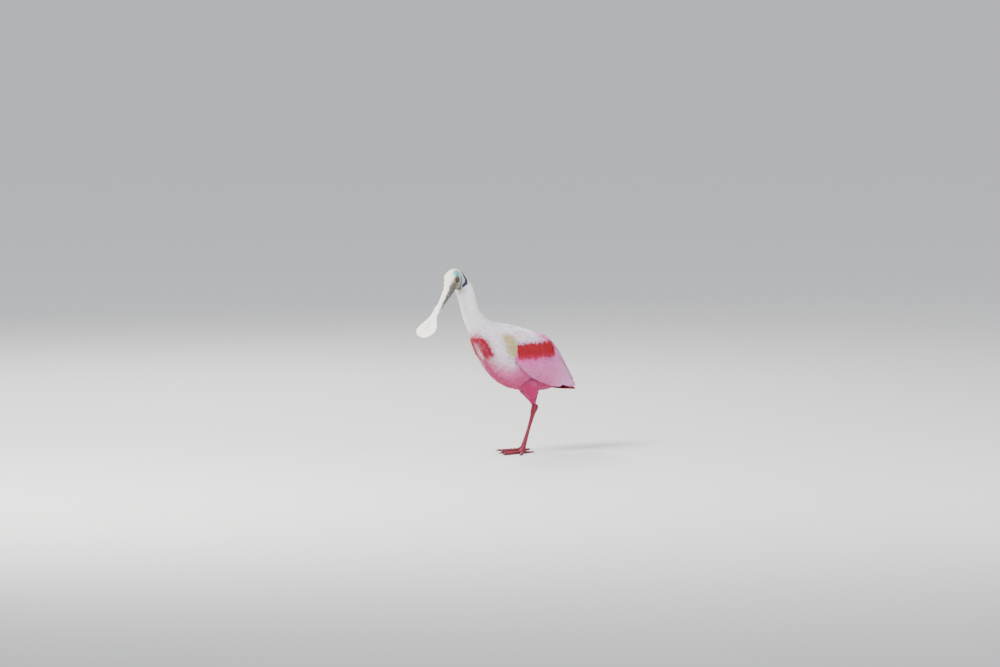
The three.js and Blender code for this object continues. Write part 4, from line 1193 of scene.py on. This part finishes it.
def nostril(side):
    """The dark slit of a nostril: a slim closed spindle set in the top of the upper mandible."""
    share, angle = lattice(np.linspace(0, 1, 22), turn_steps(14))
    girth = np.sin(math.pi * share) ** 0.6 + 0.02
    forward = NOSTRIL_START + NOSTRIL_LENGTH * share
    top = np.interp(forward, BILL_RIBS[:, 0], BILL_RIBS[:, 2] + BILL_RIBS[:, 3] * 0.93)
    left = -side * (4.9 - 0.6 * share) + 0.95 * girth * np.cos(angle)
    return tube(in_head(forward, left, top - 0.35 + 0.6 * girth * np.sin(angle)))


def eyeball(side):
    """A ball with its pole outwards, and its tint, which goes by the angle from the pole."""
    polar, angle = lattice(np.linspace(0.01, math.pi - 0.01, 60), turn_steps(48))
    radius = EYE_RADIUS * np.sin(polar)
    left = -side * (EYE_INSET + EYE_RADIUS * np.cos(polar))
    points, faces = tube(in_head(radius * np.cos(angle), left, radius * np.sin(angle)))
    tint = eye_colour(np.append(polar, [0.0, math.pi]), np.append(angle, [0.0, 0.0]))
    return points, faces, tint


def claw(leg, spread, length, radius):
    """A curved claw beyond a toe: round sections that thin to a point and bend down to the floor."""
    share = np.linspace(-0.12, 1, 24)
    along = np.clip(share, 0, 1)
    first = radius * TOE_TIP_SHARE * 0.86
    girth = first * (1 - 0.9 * along ** 1.15)
    height = GAP + girth + (first + 0.4) * (1 - along ** 1.6) * 0.35
    return floor_tube(leg, spread, length + CLAW_LENGTH * share, height, girth, around=18, slim=0.85)


for label, upper in (("bill_upper", True), ("bill_lower", False)):
    points, faces = mandible(upper)
    piece = add_piece(f"{label}_horn", points, faces, bill_horn, "bill_horn", bill_colour(points),
                      unwrap_head(points))
    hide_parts(label)

points, faces = joined([nostril(side) for side in SIDES.values()])
add_piece("nostrils", points, faces, claw_horn, "claw_horn")

for name, side in SIDES.items():
    points, faces, tint = eyeball(side)
    piece = add_piece(f"eyeball_{name}", points, faces, wet_eye, "eye", tint, unwrap_head(points))
    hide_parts(f"eye_{name}")

for name, leg in LEGS.items():
    for toe, sizes in TOES.items():
        piece = add_piece(f"claw_{name}_{toe}_horn", *claw(leg, *sizes), claw_horn, "claw_horn")
        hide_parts(f"claw_{name}_{toe}")


# Plumage

def add_tufts(name, surface, roots, colour, slot, unwrap, material=soft_feather, fade=0.04, **grow):
    """A coat piece of tufts on a surface, each of its own brightness and darker towards its root by painted
    shade, the shade of the tufts that lie over it. Each tuft's patch of the OFBake map, 0.003 across, lies
    at its root's place on the surface's own unwrap."""
    draw = np.random.default_rng(len(name) * 7 + len(roots))
    points, faces, lie, patch, rim = grow_tufts(surface, roots, **grow)
    # Painted shade: each tuft darker towards its root, where the tufts over it shade it.
    shade = 1 - 0.22 * (1 - smooth(patch[:, 1] + 0.5, 0.35, 0.98))
    tint = colour(points) * shade[:, None] * (1 + fade * draw.normal(size=(len(roots), 1, 1)))
    uv = unwrap(*roots.T)[:, None] + 0.003 * patch[None]
    points, tint, uv, lie = (values.reshape(-1, values.shape[-1]) for values in (points, tint, uv, lie))
    add_piece(name, points, faces, material, slot, tint, uv, lie, rim)


def body_unwrap(place, angle):
    """Round the body and along it."""
    return np.stack([0.01 + 0.98 * (angle / (2 * math.pi)) % 1.0, 0.01 + 0.97 * place / BODY_END], -1)


def thigh_unwrap(place, angle):
    """Round the thigh and down it."""
    return np.stack([0.02 + 0.95 * (angle / (2 * math.pi)) % 1.0, 0.05 + 0.28 * place], -1)


def wing_unwrap(place, angle):
    """Along the wing and down it from the back line."""
    return np.stack([0.02 + 0.94 * (place + 0.4) / 7.8, 0.02 + 0.94 * np.clip(angle, 0, 2.4) / 2.4], -1)


# The coat along the body: how far apart its roots are, and how long and how wide its tufts.
coat_gap = by_place((5.3, 1.7), (8, 2.45), (10.5, 3.2), (13, 4.35), (17, 5.1), (20, 4.1))
coat_length = by_place((5.3, 5), (7, 7), (9, 11), (12, 17), (14, 20), (17, 23), (20, 17))
coat_width = by_place((5.3, 3.0), (8, 4.4), (11, 6.4), (13, 8.6), (17, 10.5), (20, 8))
SHORTEST_FEATHER = 4

# What the folded wing hides of the body: places, and degrees from the back line.
UNDER_WING_PLACES, UNDER_WING_DEGREES = (14.7, 18.6), (40, 108)

draw = np.random.default_rng(77)


def vary(roots, spread):
    """A random number of that spread for each root."""
    return spread * draw.normal(size=len(roots))


def body_roots():
    """Where the body's coat grows: behind the feather line, and not under the folded wings."""
    roots = rows_of_roots(coat_surface, (5.4, 19.7), coat_gap, 5)
    feathered = past_feather_line(*roots.T) + vary(roots, 0.1) > 0
    at_wing = between(roots[:, 0], *UNDER_WING_PLACES)
    under_wing = at_wing & between(side_degrees(roots[:, 1]), *UNDER_WING_DEGREES)
    return roots[feathered & ~under_wing]


def room_before_wing(roots, length):
    """The share of a shoulder feather's length that ends before the straight front edge of the plumes."""
    per_place = stretch(coat_surface, *roots.T)[0]
    tip = coat_surface(roots[:, 0] + length / per_place, roots[:, 1], 0)
    root = coat_surface(*roots.T, 0)
    edge = PLUME_FRONT - 1
    free = (edge - root[:, 0]) / np.maximum(tip[:, 0] - root[:, 0], 0.1)
    beside = between(tip[:, 2], 236, PLUME_TOP - 2) & (np.abs(tip[:, 1]) > 30)
    return np.where(beside & (tip[:, 0] > edge), np.clip(free, 0, 1), 1)


# The coat's pieces as bands: name, first and last place, and how many lobes a tuft has.
BANDS = [
    ("nape", 0, 8.4, 3),
    ("neck_upper", 8.4, 10.0, 4),
    ("neck_lower", 10.0, 11.6, 4),
    ("breast", 11.6, 13.0, 5),
    ("shoulder", 13.0, 14.3, 5),
    ("side", 14.3, 15.8, 5),
    ("belly", 15.8, 17.6, 5),
    ("vent", 17.6, 21, 5),
]
roots = body_roots()
for name, low, high, lobes in BANDS:
    band = roots[(roots[:, 0] >= low) & (roots[:, 0] < high)]
    length = coat_length(band[:, 0]) * (1 + vary(band, 0.12))
    length = length * room_before_wing(band, length)
    long_enough = length > SHORTEST_FEATHER
    band, length = band[long_enough], length[long_enough]
    add_tufts(
        f"coat_{name}", coat_surface, band, body_colour, "white_plumage", body_unwrap,
        heading=vary(band, 0.13), length=length, width=coat_width(band[:, 0]) * (1 + vary(band, 0.1)),
        sink=coat_depth(*band.T) + ROOT_DEPTH, lobes=lobes, seed=int(low * 10),
        rise=mix(0.25, 0.6, smooth(band[:, 0], 8, 13)) * (0.4 + np.abs(vary(band, 1))),
    )

for name, leg in LEGS.items():
    surface = thigh_surface(leg)
    roots = rows_of_roots(surface, (0.0, 2.86), by_place((0, 3.8), (THIGH_END, 2.4)), 9 + leg["side"])
    down = roots[:, 0] / THIGH_END
    add_tufts(
        f"coat_thigh_{name}", surface, roots, body_colour, "pink_plumage", thigh_unwrap,
        heading=vary(roots, 0.15), length=mix(15, 6, down), width=mix(8, 4, down),
        sink=THIGH_COAT + ROOT_DEPTH, rise=np.abs(vary(roots, 0.2)), seed=3,
    )


# Large feathers

def add_vanes(name, surface, feathers, colour, unwrap, material, slot):
    """A piece of long feathers on a surface, with its colour and OFBake map as functions of its points."""
    points, faces, lie, rim = grow_vanes(surface, feathers)
    return add_piece(name, points, faces, material, slot, colour(points), unwrap(points), lie, rim)


# Wing feathers, tier by tier from the lowest layer out: count, the middle lines' roots and tips of the
# lowest and the highest feather (place, degrees down from the back line), width, lift at the front and
# at the rear, and tilt.
WING_TIERS = [
    (9, ((2.7, 104), (2.9, 58)), ((7.05, 113), (6.2, 26)), 18, (-9.0, -2.6), 5),
    (15, ((0.9, 107), (1.9, 50)), ((4.3, 113), (6.35, 55)), 22, (-5.6, -0.4), 5),
    (6, ((1.6, 50), (1.9, 16)), ((6.1, 46), (5.0, 9)), 26, (-3.4, 0.3), 4),
    (14, ((0.45, 105), (1.1, 40)), ((2.7, 111), (3.9, 48)), 20, (-2.6, 0.0), 4),
    (16, ((0.05, 103), (0.6, 36)), ((1.5, 109), (2.7, 44)), 16, (-0.3, 0.3), 4),
    (9, ((0.0, 44), (0.05, 10)), ((2.5, 46), (3.3, 10)), 21, (0.2, 1.2), 3),
]
LIFT_PLACES = (2, 6.5)
ROOT_SINK = 3.0

# Feathers along the back line, laid over the inner edges of both wings, in the same terms. They belong to
# the left wing's piece.
MIDDLE_TIER = (4, ((2.7, 0), (0.3, 0)), ((5.5, 0), (2.9, 0)), 25, (0.9, 2.0), 0)

# Where the fringe and the plumes may grow: places along the wing, and angles down from the back line.
FOREARM = dict(places=(-0.05, 3.1), angles=(0.3, 1.9))
FRINGE_OVERLAP = np.array([0, 0, 8.0])


def tier_lift(front, rear):
    """A tier's lift as a function of the place: the front one, then by a smoothstep the rear one."""
    return lambda place: mix(front, rear, smooth(place, *LIFT_PLACES))


def wing_feathers(side):
    """The wing's feathers, spread evenly from the lowest to the highest of each tier, with tips and
    widths that vary a little."""
    draw = np.random.default_rng(100 + side)
    feathers = []
    for count, roots, tips, width, lift, tilt in WING_TIERS + [MIDDLE_TIER] * (side == LEFT):
        for share in np.linspace(0, 1, count):
            root = mix(np.array(roots[0]), np.array(roots[1]), share)
            tip = mix(np.array(tips[0]), np.array(tips[1]), share) + draw.normal(size=2) * (0.04, 0.5)
            own_width = width * (1 + 0.04 * draw.normal())
            feathers.append(feather(root, tip, own_width, tilt, tier_lift(*lift), sink=ROOT_SINK))
    return feathers


def wing_unwrap_flat(points):
    """The wing as seen from its side."""
    return np.stack([0.02 + 0.94 * (points[:, 0] + 160) / 330, 0.02 + 0.94 * (points[:, 2] - 155) / 200], -1)


def in_plume_block(points):
    """Where the carmine plumes grow: a long block along the forearm, square in front, slanting behind."""
    x, z = points[..., 0], points[..., 2]
    rear, top = PLUME_REAR + 0.38 * (z - 258), PLUME_TOP - 0.03 * (x - PLUME_FRONT)
    return between(x, PLUME_FRONT, rear) & between(z, PLUME_BOTTOM, top)


for name, side in SIDES.items():
    surface = wing_surface(side)
    piece = add_vanes(f"wing_{name}_feathers", surface, wing_feathers(side), wing_colour, wing_unwrap_flat,
                      firm_feather, "wing_plumage")
    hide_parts(f"wing_{name}")

    roots = rows_of_roots(surface, (-0.12, 1.9), by_place((-0.2, 4.8), (2, 6.0)), 40 + side, (0.06, 1.9))
    add_tufts(f"wing_{name}_coverts", surface, roots, wing_colour, "wing_plumage", wing_unwrap,
              heading=vary(roots, 0.1), length=17 * (1 + vary(roots, 0.1)), width=9.0, sink=2.0,
              rise=1.0 + np.abs(vary(roots, 0.35)), lobes=4, seed=12)

    roots = rows_of_roots(surface, gap=lambda place: 3.2, seed=50 + side, **FOREARM)
    at = surface(*roots.T, 0)
    roots = roots[in_plume_block(at - FRINGE_OVERLAP) & ~in_plume_block(at)]
    add_tufts(f"wing_{name}_fringe", surface, roots, fringe_colour, "wing_plumage", wing_unwrap,
              heading=1.45 + vary(roots, 0.15), length=11 * (1 + vary(roots, 0.3)), width=5.0, sink=0.6,
              rise=3.2 + np.abs(vary(roots, 0.3)), seed=14)

    roots = rows_of_roots(surface, gap=lambda place: 2.5, seed=60 + side, **FOREARM)
    roots = roots[in_plume_block(surface(*roots.T, 0))]
    add_tufts(f"wing_{name}_plumes", surface, roots, plume_colour, "carmine_plumage", wing_unwrap,
              plume_feather, fade=0.14, heading=1.45 + vary(roots, 0.07),
              length=15 * (1 + np.abs(vary(roots, 0.4))), width=3.0 + vary(roots, 0.4), sink=0.2,
              rise=2.3 + np.abs(vary(roots, 0.35)), seed=13)


# Tail

def tail_unwrap(points):
    """The tail as seen from above."""
    return np.stack([(points[:, 0] - 60) / 100, 0.5 + points[:, 1] / 80], -1)


def level(height):
    """A lift that is the same at every place."""
    return lambda place: height + 0 * place


def sloping(height, sag):
    """A lift that sinks straight to 0.35 of its height at 60 mm, all of it lower by the sag."""
    return lambda place: mix(height, 0.35 * height, place / 60) - sag


# Twelve tail feathers fan out from the root. Each lies on the next one outwards, left and right by turns,
# and tilts so that its outer edge is the lower one.
TAIL_FEATHERS = 12
tail_feathers = []
for share in 2 * np.arange(TAIL_FEATHERS) / (TAIL_FEATHERS - 1) - 1:
    layer = abs(share) * (TAIL_FEATHERS - 1) - (share > 0)
    spread = share * 16 + math.copysign(3, share)
    tip = TAIL_LENGTH * (1 - 0.1 * share ** 2)
    tilt = math.copysign(7, -share)
    lift = level(1.6 - 0.5 * layer)
    tail_feathers.append(feather((4.0, spread), (tip, spread), 15.0, tilt, lift, blunt=0.7))
tail = add_vanes("tail_feathers", tail_surface, tail_feathers, tail_colour, tail_unwrap, plume_feather,
                 "tail_plumage")
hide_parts("tail")

# Upper tail coverts, in three layers: count, where the longest ends, spread in degrees, lift, width.
TAIL_COVERTS = [(9, 64, 17, 4.5, 15), (7, 46, 19, 8.5, 17), (5, 30, 18, 12.5, 18)]
tail_coverts = []
for count, tip, spread, lift, width in TAIL_COVERTS:
    for share in np.linspace(-1, 1, count):
        root_at, tip_at = (-16.0, spread * share), (tip * (1 - 0.12 * share ** 2), spread * share)
        slope = sloping(lift, 3.5 * share ** 2)
        tail_coverts.append(feather(root_at, tip_at, width, -9 * share, slope, blunt=0.5))
add_vanes("tail_coverts", tail_surface, tail_coverts, tail_covert_colour, tail_unwrap, plume_feather,
          "tail_plumage")


# Breast tuft

# Where it grows: places along the body, and angles from the back line, of which 180 is the middle in front.
BREAST_TUFT = dict(places=(11.75, 12.85), angles=(math.radians(141), math.radians(219)))
roots = rows_of_roots(coat_surface, gap=lambda place: 2.3, seed=90, **BREAST_TUFT)
add_tufts("breast_tuft", coat_surface, roots, breast_colour, "carmine_plumage", body_unwrap,
          plume_feather, fade=0.12, heading=np.clip(vary(roots, 0.3), -0.5, 0.5),
          length=np.clip(19 + vary(roots, 5), 8, 30), width=2.6, sink=3, rise=1.6,
          curl=1.8 + vary(roots, 1.8), seed=17)


# Floor, light and camera

# A floor of 80 m, so that its edge lies past the camera's view.
floor_mesh = bpy.data.meshes.new("floor")
floor_mesh.from_pydata([(-40, -40, 0), (40, -40, 0), (40, 40, 0), (-40, 40, 0)], [], [(0, 1, 2, 3)])
floor_mesh.materials.append(Finish("pale_floor").done(Base_Color=(0.72, 0.72, 0.71, 1), Roughness=0.9))
in_scene("floor", floor_mesh)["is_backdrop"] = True

# The camera looks from in front and to the bird's left, from far away. The point of the floor under the
# bird's own zero lies at that pixel of the frame.
VIEW = math.radians(-48)
TILT = math.radians(4.5)
RIGHTWARDS = np.array([math.cos(VIEW), math.sin(VIEW), 0])
INTO = np.array([-math.sin(VIEW) * math.cos(TILT), math.cos(VIEW) * math.cos(TILT), -math.sin(TILT)])
UPWARDS = np.cross(RIGHTWARDS, INTO)
LENS, SENSOR = 400, 36
MM_PER_PIXEL = 1 / 0.38
FRAME_WIDTH, FRAME_HEIGHT = 1000, 667
ZERO_PIXEL = (534, 451)
DISTANCE = FRAME_WIDTH * MM_PER_PIXEL * LENS / SENSOR
to_right = (FRAME_WIDTH / 2 - ZERO_PIXEL[0]) * MM_PER_PIXEL
upwards = (ZERO_PIXEL[1] - FRAME_HEIGHT / 2) * MM_PER_PIXEL
aim = SHIFT + RIGHTWARDS * to_right + UPWARDS * upwards
camera_data = bpy.data.cameras.new("camera")
camera_data.lens, camera_data.sensor_width, camera_data.clip_end = LENS, SENSOR, 200
camera = in_scene("camera", camera_data)
pose = np.column_stack([RIGHTWARDS, UPWARDS, -INTO, (aim - INTO * DISTANCE) / 1000])
camera.matrix_world = Matrix([*pose.tolist(), [0, 0, 0, 1]])
bpy.context.scene.camera = camera


def add_light(name, at, size, power, colour):
    """A square soft light aimed at the middle of the bird."""
    data = bpy.data.lights.new(name, "AREA")
    data.size, data.energy, data.color = size, power, colour
    turn = (Vector((0, 0, 0.3)) - Vector(at)).to_track_quat("-Z", "Y")
    in_scene(name, data).matrix_world = Matrix.Translation(at) @ turn.to_matrix().to_4x4()


add_light("key", (-2.6, 0.2, 2.6), 1.2, 260, (1.0, 0.98, 0.94))
add_light("fill", (0.8, -3.0, 1.4), 2.4, 60, (0.9, 0.93, 1.0))
add_light("rim", (1.2, 2.6, 2.6), 1.2, 110, (1.0, 0.97, 0.94))

world = bpy.data.worlds.new("studio")
world.use_nodes = True
background = world.node_tree.nodes["Background"]
background.inputs["Color"].default_value = (0.86, 0.88, 0.93, 1)
background.inputs["Strength"].default_value = 0.95
bpy.context.scene.world = world

bpy.context.view_layer.update()
[[list(corner) for corner in box] for box in (cad_box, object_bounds())]
